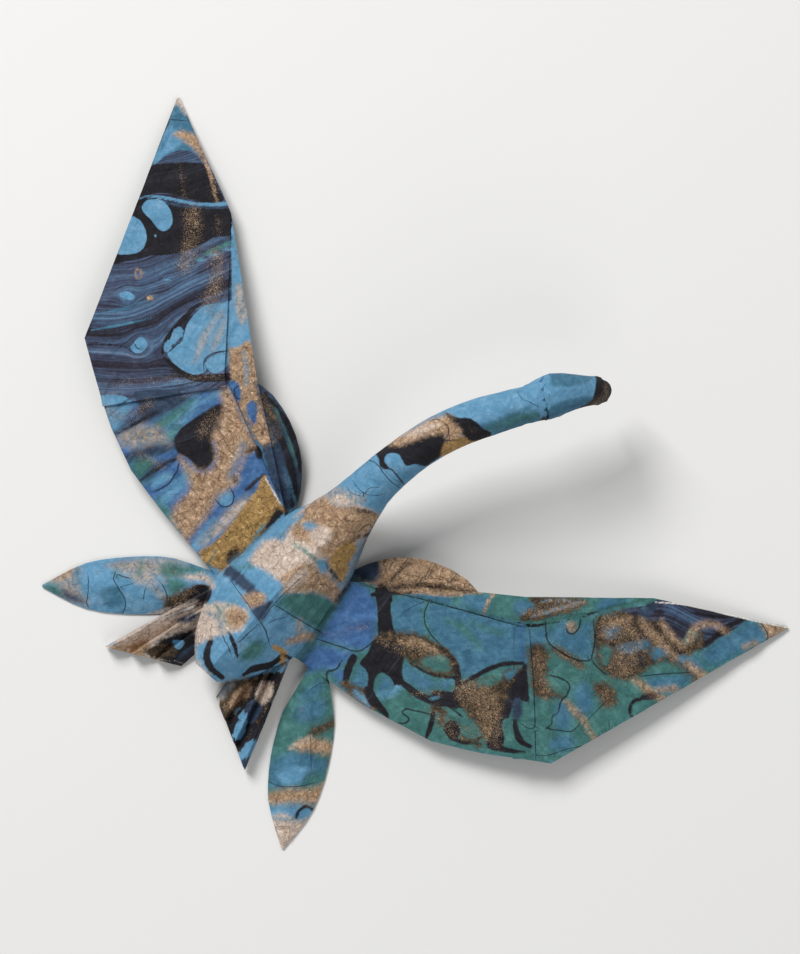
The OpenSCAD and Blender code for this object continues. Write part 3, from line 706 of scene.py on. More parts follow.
streak("dark", (8.4, 8, 8.2), (383, 591), (385, 610), (386, 632))
streak("dark", (2, 2.6, 1), (372, 594), (390, 592.5), (414, 592))
pool("dark", (374, 640), (396, 630), (405, 650), (402, 668), (403, 682), (393, 686), (384, 672), (376, 676),
     (372, 692), (367, 696), (368, 672), (360, 662), (368, 652))
streak("dark", (5, 5.5, 3, 1.2), (368, 690), (375, 702), (384, 711), (388, 717))
streak("dark", (3, 4, 4), (338, 692), (356, 706), (376, 718))
streak("bronze", (1, 2), (352, 700), (366, 712))
pool("blue", (376, 690), (382, 678), (388, 675), (394, 684), (386, 692))
pool("sky", (378, 691), (388, 688), (398, 684), (401, 688), (390, 695), (381, 697))
pool("blue", (391, 602), (400, 596), (412, 595), (423, 600), (421.5, 612), (423, 624), (427, 632), (412, 634.5),
     (396, 632), (391, 616))
pool("blue", (430, 601), (445, 604), (480, 612), (500, 618), (520, 624), (528, 640), (526, 660), (505, 662),
     (490, 666), (480, 673), (462, 677), (458, 667), (452, 655), (442, 645), (432, 633), (426, 618))
streak("teal", (1.5, 4, 2), (446, 618), (466, 630), (480, 648))
streak("teal", (0.8, 2.2, 0.8), (470, 620), (486, 628), (504, 632))
streak("deep", (3, 4, 4), (521, 626), (524, 640), (524, 660))
# Painted shadow: a dark line along the wing's long front fold, for the shade under the fold's edge
vein(0.7, (358, 584), (400, 594), (440, 603.5), (482, 615), (526, 627.5))
vein(0.8, (430, 600), (424.5, 611), (424.5, 622), (431, 634), (441, 644))
vein(0.4, (402, 613), (412, 606), (424, 602))
pool("bronze", (374, 640), (380, 634), (394, 632), (412, 632), (430, 638), (446, 647), (456, 659), (458, 669),
     (450, 675), (436, 673), (420, 665), (405, 658), (400, 644))
streak("gold", (1, 2.4, 1), (400, 640), (418, 641), (438, 651))
pool("teal", (420, 660), (434, 654), (447, 657), (450, 668), (442, 671), (430, 668))
streak("dark", (1, 2.2, 2.8, 4), (442, 646), (453, 658), (457.5, 670), (459, 692))
streak("dark", (1.4, 1.8, 1.4), (410, 662), (424, 670), (440, 675), (454, 676))
pool("blue", (403, 664), (410, 666), (422, 673), (434, 680), (436, 685), (428, 690), (418, 689), (410, 682),
     (404, 674))
pool("blue", (440, 682), (448, 677), (453, 681), (448, 688), (442, 688))
streak("dark", (3, 3.6, 4, 4), (404, 683), (418, 694), (434, 700), (461, 703))
pool("dark", (434, 690), (452, 690), (460, 686), (462, 704), (444, 704), (432, 700))
streak("blue", 1.6, (430, 698), (438, 696))
pool("bronze", (458, 690), (466, 684), (480, 678), (496, 676), (512, 668), (520, 670), (510, 684), (507, 700),
     (502, 720), (496, 740), (486, 738), (476, 724), (464, 708))
streak("dark", (2, 2.4, 2.4, 2), (461, 684), (474, 676), (489, 668), (504, 663), (522, 662))
pool("teal", (474, 682), (484, 676), (494, 676), (500, 670), (505, 673), (494, 683), (480, 687))
pool("blue", (503, 674), (512, 668), (518, 670), (510, 678))
vein(1.2, (386, 715), (391, 721), (404, 722.5), (409, 718), (402, 712.5), (405, 708.5), (416, 710), (432, 714))
streak("dark", (2, 3, 2), (433, 711), (431, 722), (426, 737))
streak("bronze", (3, 4, 3), (434, 706), (442, 712), (440, 722))
streak("dark", (1.4, 1.8, 1.2), (436, 706), (448, 704), (462, 716))
pool("dark", (443, 728), (448, 720), (456, 721), (460, 730), (457, 738), (450, 739))
streak("dark", (1.6, 2.2, 1.6), (452, 738), (468, 742), (482, 736))
streak("bronze", (2, 3), (462, 736), (480, 744))
pool("dark", (510, 682), (518, 670), (528, 662), (532, 680), (533, 706), (526, 701), (516, 702), (509, 716),
     (505, 736), (500, 750), (486, 744), (497, 722), (505, 700))
pool("teal", (519, 705), (526, 702), (534, 708), (534, 720), (524, 716))
pool("navy", (512, 700), (520, 698), (522, 712), (514, 722))
pool("teal", (502, 722), (508, 717), (515, 724), (514, 736), (509, 744), (504, 736))
streak("dark", (2.2, 3.4, 2.4, 2), (514, 720), (518, 736), (525, 743), (536, 747))
streak("dark", (2.4, 2.8, 1.4), (490, 744), (505, 749), (524, 751))
vein(0.6, (520, 722), (528, 727), (536, 727))
dust(5, (348, 628), (356, 628), (368, 625))
dust(3, (326, 634), (346, 636))
dust(16, (466, 690), (486, 700), (490, 730))
dust(8, (400, 640), (440, 655))
dust(5, (412, 692), (440, 692))
dust(7, (440, 716), (452, 734))
dust(6, (380, 640), (400, 650))
dust(6, (430, 710), (500, 745))
dust(5, (346, 690), (372, 708))

# Right wing, outer panel
# The turned back lap of the right wing, with the bare cut edge of the sheet along its front.
# Green with blue in it, dark gold dragged across, slate comb lines and a blue band near the tip.
RIGHT_OUTER = ((524, 629), (662, 597), (794, 626), (560, 764), (533, 764))
brush(5, RIGHT_OUTER, (560, 600), (640, 680), (700, 740))
panel("teal", *RIGHT_OUTER)
pool("blue", (523, 630), (534, 628), (546, 626), (546, 640), (536, 648), (527, 646))
pool("bronze", (527, 652), (538, 642), (548, 652), (546, 668), (552, 688), (562, 696), (546, 697), (533, 692))
pool("teal", (544, 676), (552, 674), (562, 680), (562, 690), (552, 688))
pool("blue", (547, 634), (555, 625), (566, 620), (570, 631), (577, 629), (582, 622), (590, 624), (592, 640),
     (590, 656), (582, 656), (570, 653), (556, 645))
streak("gold", 2.8, (570, 625), (571, 627))
vein(1.0, (565, 626), (567, 632), (573, 632.5), (578, 627), (580, 618))
vein(1.1, (545, 622), (547, 640), (560, 651), (576, 659), (590, 660))
vein(1.0, (592, 620), (594, 640), (591, 658), (598, 668), (606, 674))
streak("dark", (0.6, 1.5, 0.8), (580, 617), (589, 613), (598, 611))
streak("bronze", (2, 3.4, 3), (552, 646), (566, 655), (580, 664))
pool("bronze", (595, 622), (608, 614), (622, 609), (640, 616), (660, 622), (672, 634), (684, 643), (693, 638),
     (699, 628), (708, 636), (698, 650), (686, 656), (690, 666), (702, 672), (696, 682), (682, 669), (666, 660),
     (654, 664), (642, 672), (628, 680), (612, 677), (600, 669), (594, 655))
streak("gold", (1, 2, 1), (604, 634), (614, 622), (628, 618))
streak("dark", (1.2, 2, 1.4), (610, 643), (626, 640), (650, 632))
pool("blue", (603, 630), (610, 625), (619, 628), (616, 634), (607, 637))
streak("dark", (0.6, 1.5, 0.7), (616, 621), (630, 625), (646, 633))
pool("teal", (598, 650), (606, 645), (611, 655), (604, 663))
pool("blue", (650, 649), (661, 646), (668, 653), (656, 659))
streak("dark", (0.5, 1.3, 0.6), (612, 668), (626, 662), (640, 668))
pool("blue", (616, 646), (628, 641), (644, 640), (650, 644), (640, 650), (624, 652))
pool("dark", (635.5, 657), (640, 650), (644, 656), (642.5, 664), (638, 665))
streak("dark", (0.8, 1.7, 1), (601, 613), (597, 622), (594, 635))
pool("comb", (620, 610), (645, 605), (662, 599), (700, 605), (748, 616), (736, 628), (716, 640), (703, 650),
     (700, 634), (690, 628), (680, 640), (668, 630), (655, 621), (640, 618))
streak("dark", (1, 2.6, 3, 1), (702, 646), (714, 637), (730, 625), (747, 618))
streak("dark", (0.6, 1.8, 0.8), (690, 612), (712, 616), (732, 618))
pool("navy", (636, 610), (650, 605), (660, 602), (650, 614), (642, 618))
streak("gold", (1.6, 2, 1.6), (642, 622), (658, 640), (674, 656))
streak("dark", (2, 3, 2), (656, 628), (666, 642), (682, 652))
streak("gold", (1.4, 2, 1.4), (660, 622), (672, 638), (684, 645))
streak("gold", (2.4, 1.8, 1), (688, 640), (696, 626), (712, 624), (726, 632))
panel("blue", (748, 618), (764, 624), (770, 638), (748, 650), (720, 665), (704, 666), (700, 652), (716, 640),
      (736, 628))
pool("blue", (674, 658), (684, 654), (694, 657), (704, 665), (697, 674), (686, 666))
streak("gold", (2, 3), (686, 662), (702, 676))
streak("gold", 1.2, (744, 647), (756, 643))
panel("gold", (759, 620), (792, 627), (768, 640), (766, 632))
vein(0.7, (760, 622), (768, 634), (766, 640))
vein(0.7, (640, 676), (656, 674), (690, 672))
pool("blue", (648, 678), (668, 675), (690, 676), (680, 688), (664, 692), (652, 688))
streak("gold", (2, 3, 2), (634, 680), (648, 690), (664, 700))
streak("gold", (1.6, 2), (656, 690), (674, 688))
streak("dark", (1.2, 2, 1.8, 1.2), (634, 722), (629, 710), (634, 700), (650, 698))
pool("dark", (640, 696), (650, 690), (657, 697), (646, 700))
pool("bronze", (592, 686), (602, 682), (614, 690), (616, 702), (606, 706), (598, 698))
streak("gold", (0.8, 1.6, 1), (566, 702), (578, 714), (586, 722))
streak("gold", (0.6, 1.2), (586, 726), (597, 741))
vein(0.5, (606, 700), (594, 712), (584, 722))
pool("blue", (574, 690), (584, 682), (592, 694), (592, 708), (582, 714), (574, 704))
pool("blue", (556, 704), (566, 700), (570, 716), (566, 730), (556, 726))
pool("blue", (552, 738), (566, 734), (574, 742), (562, 750), (550, 748))
vein(1.1, (548, 674), (560, 677), (568.5, 683), (567, 692), (560, 701), (558, 712))
vein(0.7, (558, 712), (552, 715), (551, 723), (545, 727), (558, 729), (571, 730), (580, 722))
vein(0.5, (530, 755), (548, 754), (566, 748), (590, 744))
# Painted shade: a dark line along the crease between the inner and outer panels
vein(0.7, (529, 630), (534, 700), (535, 758))
vein(0.5, (608, 720), (609, 730))
dust(16, (608, 626), (630, 640), (620, 665))
dust(9, (536, 660), (546, 690))
dust(9, (644, 628), (672, 650))
dust(8, (604, 692), (606, 702))
dust(6, (556, 648), (580, 664))
dust(6, (640, 684), (664, 698))
dust(5, (570, 704), (596, 738))
streak("raw", (0.6, 1.2, 1.0, 0.7), (654, 602), (680, 603.5), (706, 608.5), (746, 618.5), (766, 623),
       (788, 627.5))

# Left leaf
# A pointed flap behind the left wing, two layers lying flat on the table.
# Light blue with clouded cream and a few dark cracks.
LEFT_LEAF = ((38, 584), (74, 558), (180, 552), (220, 570), (216, 592), (168, 622), (108, 620), (60, 602))
brush(4, LEFT_LEAF, (40, 590), (120, 580), (215, 584))
panel("sky", *LEFT_LEAF)
pool("haze", (42, 584), (58, 575), (72, 566), (80, 567), (78, 578), (80, 590), (88, 604), (72, 600), (62, 596),
     (56, 588))
pool("teal", (40, 584), (52, 582), (60, 588), (66, 600), (54, 596))
pool("gold", (52, 579), (60, 573), (70, 567), (72, 573), (62, 578))
pool("navy", (62, 588), (68, 592), (80, 597), (86, 604), (74, 602), (64, 598))
pool("blue", (73, 570), (79, 568), (81, 582), (77, 584))
pool("haze", (106, 566), (130, 560), (166, 559), (186, 564), (184, 576), (170, 580), (154, 584), (140, 584),
     (128, 576), (116, 569))
streak("haze", (3, 3.4, 2), (144, 580), (157, 589), (167, 602))
pool("teal", (160, 566), (176, 563), (200, 568), (206, 574), (186, 574), (174, 578), (164, 576))
pool("teal", (166, 580), (176, 576), (186, 582), (180, 592), (170, 598))
streak("teal", (1, 1.6, 0.8), (116, 568), (116, 574), (120, 576))
streak("teal", (1, 1.2), (142, 562), (139, 574))
pool("sky", (156, 578), (162, 576), (164, 582), (158, 583))
pool("blue", (100, 590), (116, 586), (124, 596), (122, 606), (108, 608))
pool("bronze", (164, 602), (174, 594), (186, 588), (198, 584), (206, 588), (198, 600), (180, 610), (166, 616))
# Painted shade: the dark patch at the root, where the leaf goes under
pool("dark", (190, 592), (200, 584), (212, 588), (208, 602), (192, 608), (176, 612))
streak("cream", (2, 3, 2.6), (188, 577), (204, 578), (213, 585))
pool("sky", (202, 568), (212, 570), (216, 577), (206, 575))
vein(0.6, (88, 574), (88.5, 588), (87, 602), (89, 608))
vein(0.7, (116, 571), (114, 579), (120, 590), (125, 599), (125, 607), (122, 615))
vein(0.7, (117, 573), (122, 576), (130, 578))
vein(0.45, (119, 587), (126, 585), (134, 583))
vein(0.5, (146, 586), (143, 600))
vein(0.7, (161, 582), (166, 590), (168, 600))
dust(6, (118, 564), (150, 566), (176, 572))
dust(6, (60, 576), (74, 592))
dust(7, (176, 600), (194, 590))

# Left tail fan
# The left tail point, pleated like a fan and pressed out beside the body.
# Pale worn gold over black, with the bare cut edge of the sheet showing as two thin lines.
LEFT_FAN = ((100, 640), (150, 614), (196, 601), (196, 668), (184, 676), (150, 660), (112, 656))
brush(1, LEFT_FAN, (108, 642), (160, 634), (208, 622))
panel("cream", *LEFT_FAN)
pool("gold", (112, 646), (128, 644), (146, 640), (150, 648), (140, 656), (120, 654))
streak("dark", (0.6, 1.4, 1.8), (164, 619), (180, 612), (196, 606))
streak("dark", (0.4, 1.2, 1.6), (172, 622), (184, 619), (195, 615))
pool("navy", (178, 620), (188, 616), (196, 613), (196, 620), (188, 622), (182, 623))
streak("cream", 1.0, (165, 632), (180, 629), (195, 624))
panel("dark", (148, 652), (162, 639), (178, 632), (196, 629), (196, 668), (186, 676), (164, 662))
pool("bronze", (146, 650), (158, 644), (172, 645), (177, 654), (164, 659), (152, 658))
pool("sky", (173, 640), (184, 641), (182.5, 647), (178, 649.5), (174, 645))
streak("navy", (1, 2.4, 2.6), (178, 660), (186, 652), (194, 647))
streak("dark", (2, 2.4), (106, 641), (112, 641))
streak("sky", 1.2, (110, 644), (115, 643))
streak("raw", 0.4, (174, 661), (188, 668))
streak("raw", 0.45, (160, 620), (178, 612.5), (195, 606))
dust(8, (120, 643), (150, 634), (186, 626))

# Right tail fan
# The right tail point, folded in three narrow pleats that step down behind the body.
# Slate and black with light drops, pinkish gold specks and a bare cut edge.
RIGHT_FAN = ((228, 682), (266, 675), (298, 669), (274, 742), (244, 780), (228, 764), (210, 700))
brush(1, RIGHT_FAN, (276, 672), (250, 716), (232, 756))
panel("bronze", *RIGHT_FAN)
pool("haze", (218, 697), (222, 688), (232, 682), (236, 686), (228, 694), (222, 702))
pool("gold", (230, 702), (238, 690), (250, 683), (251, 690), (240, 701), (232, 709))
panel("dark", (269, 672), (284, 674), (262, 714), (244, 746), (233, 752), (222, 724), (244, 704))
pool("navy", (246, 705), (254, 699), (264, 704), (259, 715), (251, 724), (247, 714))
pool("cream", (256, 694), (262, 684), (272, 682), (272, 694), (264, 703), (258, 701))
pool("sky", (234.5, 713), (240, 707), (245.5, 711), (248, 720), (245, 727), (242, 720), (238, 717))
pool("sky", (233, 731), (237, 722), (243, 720), (246, 727), (243, 736), (237, 740), (232.5, 738))
vein(0.5, (246, 704), (254, 706), (260, 706))
vein(0.5, (244, 710), (252, 712))
panel("dark", (284, 676), (298, 664), (274, 742), (244, 778), (230, 762), (244, 744))
streak("navy", (1, 3, 2), (282, 700), (268, 724), (256, 742))
pool("sky", (233, 762), (238, 754), (246, 742), (257, 740), (253, 754), (242, 760), (236, 766))
pool("navy", (236, 766), (246, 760), (252, 756), (246, 768), (241, 774))
pool("haze", (270, 698), (276, 690), (286, 688), (282, 700), (274, 706))
# Painted shadow: dark lines where each pleat steps down under the one before
streak("dark", 1.6, (262, 676), (244, 706), (228, 724))
streak("dark", 1.6, (284, 676), (262, 714), (240, 748), (234, 754))
dust(7, (262, 698), (270, 686))
dust(6, (276, 700), (282, 692))
dust(8, (230, 706), (250, 684))
streak("raw", 0.9, (217, 698), (220, 712), (224, 724))
streak("raw", 0.9, (223, 730), (228, 742), (234, 754))
streak("raw", 0.5, (236, 765), (241, 774))

# Right leaf
# The pointed flap behind the right wing, two layers lying flat on the table.
# Green running into blue in soft bands, with bands of worn gold and a cream point.
RIGHT_LEAF = ((296, 674), (328, 668), (348, 692), (344, 740), (326, 810), (294, 860), (278, 856), (260, 790),
              (274, 720))
brush(5, RIGHT_LEAF, (262, 772), (300, 760), (350, 730))
panel("teal", *RIGHT_LEAF)
pool("blue", (300, 696), (312, 684), (322, 680), (320, 692), (306, 702))
pool("blue", (298, 708), (312, 698), (324, 702), (322, 718), (306, 722), (294, 718))
pool("bronze", (346, 706), (334, 718), (320, 724), (308, 732), (314, 736), (328, 730), (344, 722))
pool("gold", (296, 745), (306, 739), (320, 739), (334, 744), (340, 754), (322, 753), (308, 750), (300, 750))
pool("navy", (332, 736), (342, 728), (342, 742), (334, 742))
streak("cream", (0.6, 1.2, 0.6), (291, 748), (299, 742), (310, 737))
pool("blue", (270, 764), (286, 754), (302, 750), (320, 757), (328, 766), (318, 776), (306, 782), (290, 788),
     (270, 786))
pool("sky", (280, 772), (296, 766), (310, 770), (300, 780), (284, 784))
pool("teal", (304, 784), (310, 774), (322, 774), (328, 780), (314, 786))
vein(0.5, (266, 780), (280, 786), (300, 786), (316, 782))
pool("gold", (270, 794), (290, 789), (310, 789), (326, 782), (330, 764), (333, 748), (348, 746), (338, 784),
     (322, 804), (300, 802), (270, 803))
pool("sky", (266, 806), (286, 804), (302, 803), (322, 808), (314, 820), (298, 822), (268, 818))
streak("dark", (1, 1.8, 1.6), (295, 820), (299, 810), (307, 806), (316, 813))
streak("cream", (1, 2, 1), (274, 816), (282, 815), (290, 818))
pool("cream", (268, 822), (284, 820), (300, 821), (320, 816), (310, 832), (296, 858), (280, 858))
pool("gold", (298, 830), (306, 822), (318, 818), (306, 836), (292, 854))
# Painted shade: a thin dark line along the leaf's middle crease
vein(0.4, (310, 732), (311, 752), (310.5, 772))
vein(0.4, (310, 690), (318, 684), (326, 682))
dust(8, (284, 826), (288, 842))
dust(6, (300, 742), (330, 748))
dust(7, (280, 796), (320, 794))
dust(4, (302, 708), (304, 716))

# Comb lines and lift-off
# A comb drawn through the wet inks leaves lines that lift towards the front of the wing and part round drops.
# The sheet takes every ink with it, and the pressed edges of one ink lie under the next.
WING_DROPS = ((128, 296, 8), (140, 346, 9), (157, 216, 16), (134, 238, 16), (140, 274, 4), (151, 298, 3),
              (196, 345, 26), (168, 281, 4))
BETWEEN_WINGS = 400
FIELD_LIMIT = 900
left_comb = plan[:, 1] + 0.0024 * (plan[:, 0] - 100) ** 2
for drop_x, drop_y, drop_r in WING_DROPS:
    away_x, away_y = plan[:, 0] - drop_x, plan[:, 1] - drop_y
    left_comb -= away_y * drop_r ** 2 / np.maximum(away_x ** 2 + away_y ** 2, drop_r ** 2)
right_comb = plan[:, 1] - 0.2 * plan[:, 0] + 5 * np.sin((plan[:, 0] - 640) / 14)
comb_flow = np.where(plan[:, 0] < BETWEEN_WINGS, left_comb, right_comb)

fields = {}
lower = ink_edge[INKS[0]].copy()
for name in INKS[1:]:
    fields["ink_" + name] = np.maximum(ink_edge[name], 0) - np.maximum(lower, 0)
    lower = np.minimum(lower, ink_edge[name])
fields.update(gold_dust=dust_edge, raw_edge=raw_edge, vein_side=vein_side, vein_off=vein_off, comb_flow=comb_flow,
              grain_along=grain_along, grain_across=grain_across, grain_reach=grain_reach)
for name, values in fields.items():
    values = np.clip(values, -FIELD_LIMIT, FIELD_LIMIT).astype(np.float32)
    crane_mesh.attributes.new(name, "FLOAT", "POINT").data.foreach_set("value", values)


# An ink is named by its red, green and blue from 0 to 255, as it looks, and the shader takes it as light
def ink(r, g, b):
    return tuple((c / 255 / 12.92 if c <= 10 else ((c / 255 + 0.055) / 1.055) ** 2.4) for c in (r, g, b)) + (1,)


def place(tree, kind, inputs=(), **settings):
    made = tree.nodes.new(kind)
    for key, value in settings.items():
        setattr(made, key, value)
    for key, value in dict(inputs).items():
        if isinstance(value, bpy.types.NodeSocket):
            tree.links.new(value, made.inputs[key])
        else:
            made.inputs[key].default_value = value
    return made


# Edge of an ink: a field that is below zero inside, made uneven by noise and by the drag of the inks
ink_edge_group = bpy.data.node_groups.new("ink edge", "ShaderNodeTree")
for socket in ("Field", "Wander", "Reach", "Softness", "Drag"):
    ink_edge_group.interface.new_socket(socket, in_out="INPUT", socket_type="NodeSocketFloat")
ink_edge_group.interface.new_socket("Mask", in_out="OUTPUT", socket_type="NodeSocketFloat")
edge_in = ink_edge_group.nodes.new("NodeGroupInput")
edge_out = ink_edge_group.nodes.new("NodeGroupOutput")
dragged = place(ink_edge_group, "ShaderNodeMath",
                {0: edge_in.outputs["Field"], 1: edge_in.outputs["Drag"]}, operation="ADD")
centred = place(ink_edge_group, "ShaderNodeMath", {0: edge_in.outputs["Wander"], 1: 0.5}, operation="SUBTRACT")
uneven = place(ink_edge_group, "ShaderNodeMath",
               {0: centred.outputs[0], 1: edge_in.outputs["Reach"], 2: dragged.outputs[0]}, operation="MULTIPLY_ADD")
inner = place(ink_edge_group, "ShaderNodeMath", {0: edge_in.outputs["Softness"], 1: -1.0}, operation="MULTIPLY")
inside = place(ink_edge_group, "ShaderNodeMapRange",
               {"Value": uneven.outputs[0], "From Min": edge_in.outputs["Softness"], "From Max": inner.outputs[0]},
               interpolation_type="SMOOTHSTEP")
ink_edge_group.links.new(inside.outputs["Result"], edge_out.inputs["Mask"])

# Paper finish
# Thin long fibred paper with a dull face; the gold inks hold mica, so they shine where the crinkles face the lamp.
# Creases from the folding cross the whole sheet, fine and sharp, and the colour is darkened along them as painted
# shade.
paper = bpy.data.materials.new("marbled paper")
paper.use_nodes = True
tree = paper.node_tree
shader = tree.nodes["Principled BSDF"]
where = place(tree, "ShaderNodeTexCoord").outputs["Object"]


def speckle(scale, detail=2.0, rough=0.5, bend=0.0, vector=None):
    return place(tree, "ShaderNodeTexNoise", {"Vector": vector or where, "Scale": scale, "Detail": detail,
                                              "Roughness": rough, "Distortion": bend}).outputs["Fac"]


def field(name):
    return place(tree, "ShaderNodeAttribute", attribute_name=name).outputs["Fac"]


def calc(way, a, b=0.0, c=0.0):
    return place(tree, "ShaderNodeMath", {0: a, 1: b, 2: c}, operation=way).outputs[0]


def times(a, b):
    return calc("MULTIPLY", a, b)


def plus(a, b):
    return calc("ADD", a, b)


def minus(a, b):
    return calc("SUBTRACT", a, b)


def larger(a, b):
    return calc("MAXIMUM", a, b)


def combine(x, y, z=0.0):
    return place(tree, "ShaderNodeCombineXYZ", {"X": x, "Y": y, "Z": z}).outputs[0]


def fade(value, start, end, low=0.0, high=1.0):
    return place(tree, "ShaderNodeMapRange",
                 {"Value": value, "From Min": start, "From Max": end, "To Min": low, "To Max": high},
                 interpolation_type="SMOOTHSTEP").outputs["Result"]


def blend(share, under, over, way="MIX"):
    return place(tree, "ShaderNodeMix", {0: share, 6: under, 7: over}, data_type="RGBA", blend_type=way).outputs[2]


def ramp(value, *stops):
    made = place(tree, "ShaderNodeValToRGB", {"Fac": value})
    while len(made.color_ramp.elements) < len(stops):
        made.color_ramp.elements.new(0.5)
    for element, (at, colour) in zip(made.color_ramp.elements, stops):
        element.position = at
        element.color = colour
    return made.outputs["Color"]


cloud = speckle(55, 3, 0.55)
mottle = speckle(190, 4, 0.62, 0.6)
wander = speckle(330, 3, 0.6)
fray = speckle(1250, 3, 0.7)
glint = speckle(3100, 2, 0.6)
foil = speckle(520, 4, 0.65, 0.8)
# Worn specks of the metal inks together with painted glints of their mica, both at random
wear_and_glint = plus(times(foil, 0.6), times(fray, 0.4))
thin = minus(1.0, wear_and_glint)
grain = combine(times(field("grain_along"), 0.02), times(field("grain_across"), 0.22))
drawn = speckle(1.0, 4, 0.6, 0.2, grain)
reach_here = field("grain_reach")
drag = times(minus(drawn, 0.5), times(reach_here, 2.2))
half_drag = times(drag, 0.5)

# Creases: folded facets of two sizes, and the sharp lines between them
stir = place(tree, "ShaderNodeTexNoise", {"Vector": where, "Scale": 140.0, "Detail": 2.0}).outputs["Color"]
stir = place(tree, "ShaderNodeVectorMath", {0: stir, 1: (0.5, 0.5, 0.5)}, operation="SUBTRACT").outputs[0]
bent = place(tree, "ShaderNodeVectorMath", {0: stir, 1: (0.003, 0.003, 0.003), 2: where},
             operation="MULTIPLY_ADD").outputs[0]


def facets(scale):
    return place(tree, "ShaderNodeTexVoronoi", {"Vector": bent, "Scale": scale, "Randomness": 1.0},
                 feature="DISTANCE_TO_EDGE").outputs["Distance"]


broad, net = facets(110.0), facets(205.0)
crease = times(fade(plus(net, times(minus(wander, 0.5), 0.08)), 0.05, 0.0), fade(mottle, 0.42, 0.56))

# Colours of the inks, each from its dark or worn tone to its light one, at random over the sheet; on the gold,
# ochre, cream and bronze the lightest specks are painted glints of the mica
tone = plus(times(mottle, 0.7), times(drawn, 0.3))
blue = ramp(tone, (0.3, ink(50, 92, 118)), (0.5, ink(66, 114, 140)), (0.72, ink(92, 140, 164)))
sky = ramp(tone, (0.28, ink(74, 126, 158)), (0.5, ink(97, 148, 181)), (0.75, ink(132, 172, 201)))
deep = ramp(tone, (0.28, ink(44, 74, 118)), (0.5, ink(66, 106, 156)), (0.75, ink(96, 138, 184)))
teal = ramp(tone, (0.25, ink(44, 84, 82)), (0.5, ink(66, 116, 112)), (0.75, ink(96, 148, 142)))
navy = ramp(tone, (0.25, ink(28, 36, 52)), (0.5, ink(48, 64, 86)), (0.75, ink(72, 92, 116)))
haze = ramp(foil, (0.3, ink(92, 120, 140)), (0.46, ink(136, 144, 150)), (0.6, ink(182, 168, 156)),
            (0.78, ink(228, 212, 196)))
bronze = ramp(wear_and_glint, (0.36, ink(38, 33, 32)), (0.46, ink(66, 58, 49)), (0.56, ink(108, 88, 64)),
              (0.7, ink(178, 148, 108)))
gold = ramp(wear_and_glint, (0.32, ink(128, 100, 77)), (0.45, ink(174, 141, 111)), (0.56, ink(206, 173, 141)),
            (0.7, ink(246, 222, 196)))
ochre = ramp(wear_and_glint, (0.32, ink(128, 98, 58)), (0.45, ink(174, 138, 85)), (0.57, ink(200, 162, 104)),
             (0.72, ink(236, 206, 150)))
cream = ramp(wear_and_glint, (0.3, ink(162, 141, 127)), (0.44, ink(208, 187, 171)), (0.56, ink(228, 210, 196)),
             (0.72, ink(246, 236, 226)))
flow_at = times(field("comb_flow"), 0.06)
broad_flow = combine(flow_at, times(cloud, 1.2))
fine_flow = combine(times(flow_at, 6.0), times(cloud, 2.5), 4.0)
lines = plus(times(speckle(1.0, 3, 0.55, 0.0, broad_flow), 0.55),
             times(speckle(1.0, 3, 0.6, 0.0, fine_flow), 0.45))
comb = ramp(lines, (0.34, ink(27, 25, 34)), (0.44, ink(44, 46, 62)), (0.52, ink(66, 86, 114)),
            (0.6, ink(90, 122, 152)), (0.72, ink(124, 158, 180)))
comb = blend(fade(cloud, 0.44, 0.6, 0.0, 0.8), comb, blend(1.0, comb, ink(255, 222, 222), "MULTIPLY"))
dark = ramp(lines, (0.35, ink(16, 15, 20)), (0.52, ink(27, 25, 32)), (0.62, ink(42, 43, 53)),
            (0.72, ink(62, 70, 82)))

# Inks laid one over the other, from the ground to the metals: what makes the edge uneven and by how much, how
# soft the edge is, how much softer where the inks were dragged, and the drag itself
colour = blue
masks = {}
for name, shade, edge, reach, softness, blur, pull in (
        ("sky", sky, wander, 2.5, 1.2, 0.45, drag), ("deep", deep, wander, 3.0, 1.6, 0.5, drag),
        ("teal", teal, mottle, 9.0, 4.0, 0.6, drag), ("navy", navy, wander, 3.0, 1.2, 0.45, drag),
        ("comb", comb, wander, 1.5, 0.7, 0.0, 0.0), ("haze", haze, foil, 12.0, 3.0, 0.6, drag),
        ("dark", dark, wander, 2.2, 0.55, 0.12, 0.0), ("bronze", bronze, thin, 18.0, 1.8, 0.5, half_drag),
        ("cream", cream, thin, 10.0, 2.0, 0.5, half_drag), ("gold", gold, thin, 9.0, 1.6, 0.75, half_drag),
        ("ochre", ochre, thin, 8.0, 1.6, 0.1, half_drag)):
    made = place(tree, "ShaderNodeGroup",
                 {"Field": field("ink_" + name), "Wander": edge, "Reach": reach,
                  "Softness": calc("MULTIPLY_ADD", reach_here, blur, softness), "Drag": pull},
                 node_tree=ink_edge_group)
    masks[name] = made.outputs["Mask"]
    colour = blend(masks[name], colour, shade)

# Flakes of gold that fell beside the poured gold
dust_near = fade(field("gold_dust"), 6.0, -9.0, 0.0, 0.19)
flake = times(fade(plus(glint, dust_near), 0.68, 0.76), fade(dust_near, 0.0, 0.02, 0.0, 0.85))
colour = blend(flake, colour, ramp(fray, (0.35, ink(132, 104, 80)), (0.65, ink(218, 188, 154))))

# Dark lines, uneven in width: veins where dark ink was squeezed between two drops, and painted shade along the folds
# and creases marked above
across = calc("ABSOLUTE", plus(field("vein_side"), times(minus(wander, 0.5), 2.4)))
vein_and_shade_line = fade(plus(across, times(minus(fray, 0.5), 0.9)), 1.15, 0.45)
vein_and_shade_share = times(times(vein_and_shade_line, fade(field("vein_off"), 2.8, 1.6)), 0.82)
colour = blend(vein_and_shade_share, colour, ink(22, 21, 27))

